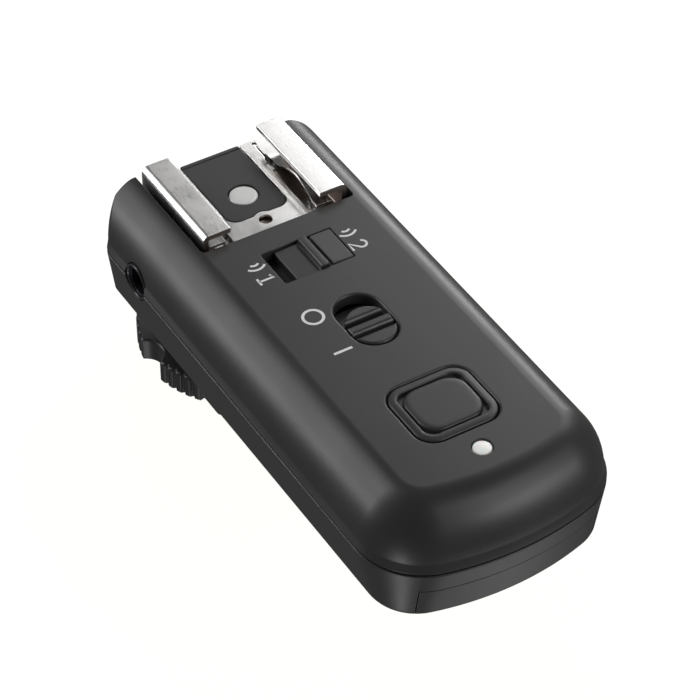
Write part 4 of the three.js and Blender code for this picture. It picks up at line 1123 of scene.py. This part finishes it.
# ---- nodes kept as the CAD made them
# Material, rounding of the edges in millimetres, and nodes.
KEPT = [
    (STEEL, 0.1, ["channel_switch", "power_switch", "test_switch", "radio_shield"]),
    (BLACK, 0.05, ["channel_switch_lever", "power_switch_lever", "test_switch_plunger"]),
    (BOARD, 0.05, ["circuit_board"]),
    (BLACK, 0.08, ["controller_chip"]),
    (STEEL, 0.3, ["crystal"]),
    (GOLD, 0.0, ["antenna"]),
    (BLACK, 0.1, ["trigger_thyristor"]),
    (STEEL, 0.2, ["capacitor"]),
    (GOLD, 0.03, ["contact_strip", "cell_middle_contact", "cell_rim_contact"]),
    (CELL_STEEL, 0.0, ["coin_cell"]),
    # The socket takes the darker black: painted shade of its bore.
    (JACK_SHADE_BLACK, 0.05, ["sync_socket"]),
    (STEEL, 0.0, ["board_screw_1", "board_screw_2", "foot_contact_spring"]),
    (STEEL, 0.0, [f"post_screw_{i}" for i in range(1, 5)]),
    (POST_METAL, 0.06, ["lock_washer"]),
]


def dress_kept_nodes():
    """A finish and rounded edges for the nodes that keep the CAD's mesh."""
    for material, edge, name in ((m, e, name) for m, e, names in KEPT for name in names):
        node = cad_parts[name]
        node.data.materials.clear()
        node.data.materials.append(material)
        weld = node.modifiers.new("weld", "WELD")
        weld.merge_threshold = 0.001 * MM
        if edge:
            bevel = node.modifiers.new("edge", "BEVEL")
            bevel.width = edge * MM
            bevel.segments = 2
            bevel.limit_method = "ANGLE"
            bevel.angle_limit = math.radians(35)


# ---- floor, world and lights
WORLD_STRENGTH = 0.12
FLOOR_SIZE = 8
FLOOR_LOOK = {
    "Base Color": (0.10, 0.10, 0.10, 1),
    "Roughness": 1.0,
    "Specular IOR Level": 0.0,
    "Emission Color": (1.0, 0.997, 0.965, 1),
    "Emission Strength": 0.98,
}
CASE_MIDDLE = (0, -28, -6)


def add_floor():
    """A plain pale floor that shines evenly, so that its tone doesn't follow the lights."""
    bpy.ops.mesh.primitive_plane_add(size=FLOOR_SIZE, location=(0, 0, 0))
    floor = bpy.context.object
    floor.name = "floor"
    material = bpy.data.materials.new("floor")
    material.use_nodes = True
    shader = material.node_tree.nodes["Principled BSDF"]
    for name, value in FLOOR_LOOK.items():
        shader.inputs[name].default_value = value
    floor.data.materials.append(material)
    floor.visible_glossy = False
    floor.visible_diffuse = False
    floor.visible_shadow = False


def add_world():
    """Even pale light from all round."""
    world = bpy.data.worlds.new("studio")
    bpy.context.scene.world = world
    world.use_nodes = True
    background = world.node_tree.nodes["Background"]
    background.inputs["Color"].default_value = (1, 1, 1, 1)
    background.inputs["Strength"].default_value = WORLD_STRENGTH


def softbox(name, at, towards, size, radiance):
    """A rectangular light at a layout position, facing another; size is across and up, in millimetres."""
    data = bpy.data.lights.new(name, "AREA")
    data.shape = "RECTANGLE"
    data.size = size[0] * MM
    data.size_y = size[1] * MM
    data.energy = radiance * math.pi**2 * data.size * data.size_y
    light = bpy.data.objects.new(name, data)
    bpy.context.scene.collection.objects.link(light)
    light.location = place(*at)
    light.rotation_mode = "QUATERNION"
    light.rotation_quaternion = (light.location - place(*towards)).to_track_quat("Z", "Y")
    light.visible_camera = False


def around(azimuth, elevation, distance):
    """A layout position seen from the middle of the case. Azimuth 0 is +Y, and 90 is +X."""
    azimuth = math.radians(azimuth)
    elevation = math.radians(elevation)
    flat = distance * math.cos(elevation)
    x, y, z = CASE_MIDDLE
    return (x + flat * math.sin(azimuth), y + flat * math.cos(azimuth), z + distance * math.sin(elevation))


LIGHTS = {
    "overhead_middle": ((140, 125, 150), (140, 125, 0), (70, 260), 1.17),
    "overhead_right": ((235, 125, 150), (235, 125, 0), (120, 260), 0.67),
    "left_low": (around(-49, 5, 900), CASE_MIDDLE, (300, 190), 2.9),
    "left_middle": (around(-47, 20, 900), CASE_MIDDLE, (300, 190), 1.5),
    "left_high": (around(-44, 34, 900), CASE_MIDDLE, (300, 190), 2.1),
    "left_top": (around(-34, 48, 900), CASE_MIDDLE, (300, 190), 1.4),
    "right_strip": (around(50, 8, 900), CASE_MIDDLE, (160, 200), 4.1),
    "front_high": (around(150, 40, 900), CASE_MIDDLE, (500, 300), 0.9),
    "front_low": (around(150, 15, 900), CASE_MIDDLE, (500, 250), 2.2),
    "low_corner_strip": (around(-121, -43, 400), CASE_MIDDLE, (60, 260), 2.0),
    "low_front_box": (around(150, -55, 500), CASE_MIDDLE, (300, 250), 0.34),
}


def add_lights():
    """Every softbox of the studio."""
    for name, settings in LIGHTS.items():
        softbox(name, *settings)


# ---- build
add_camera()
top_shell()
bottom_shell()
battery_door()
screws()
bracket()
spring_plate()
contact_pad()
shoe_contact()
channel_slider()
power_slider()
test_button()
status_lamp()
sync_socket()
foot_post()
shoe_foot()
foot_contact()
lock_wheel()
legends()
dress_kept_nodes()
add_floor()
add_world()
add_lights()
bpy.context.scene.view_settings.view_transform = "Standard"
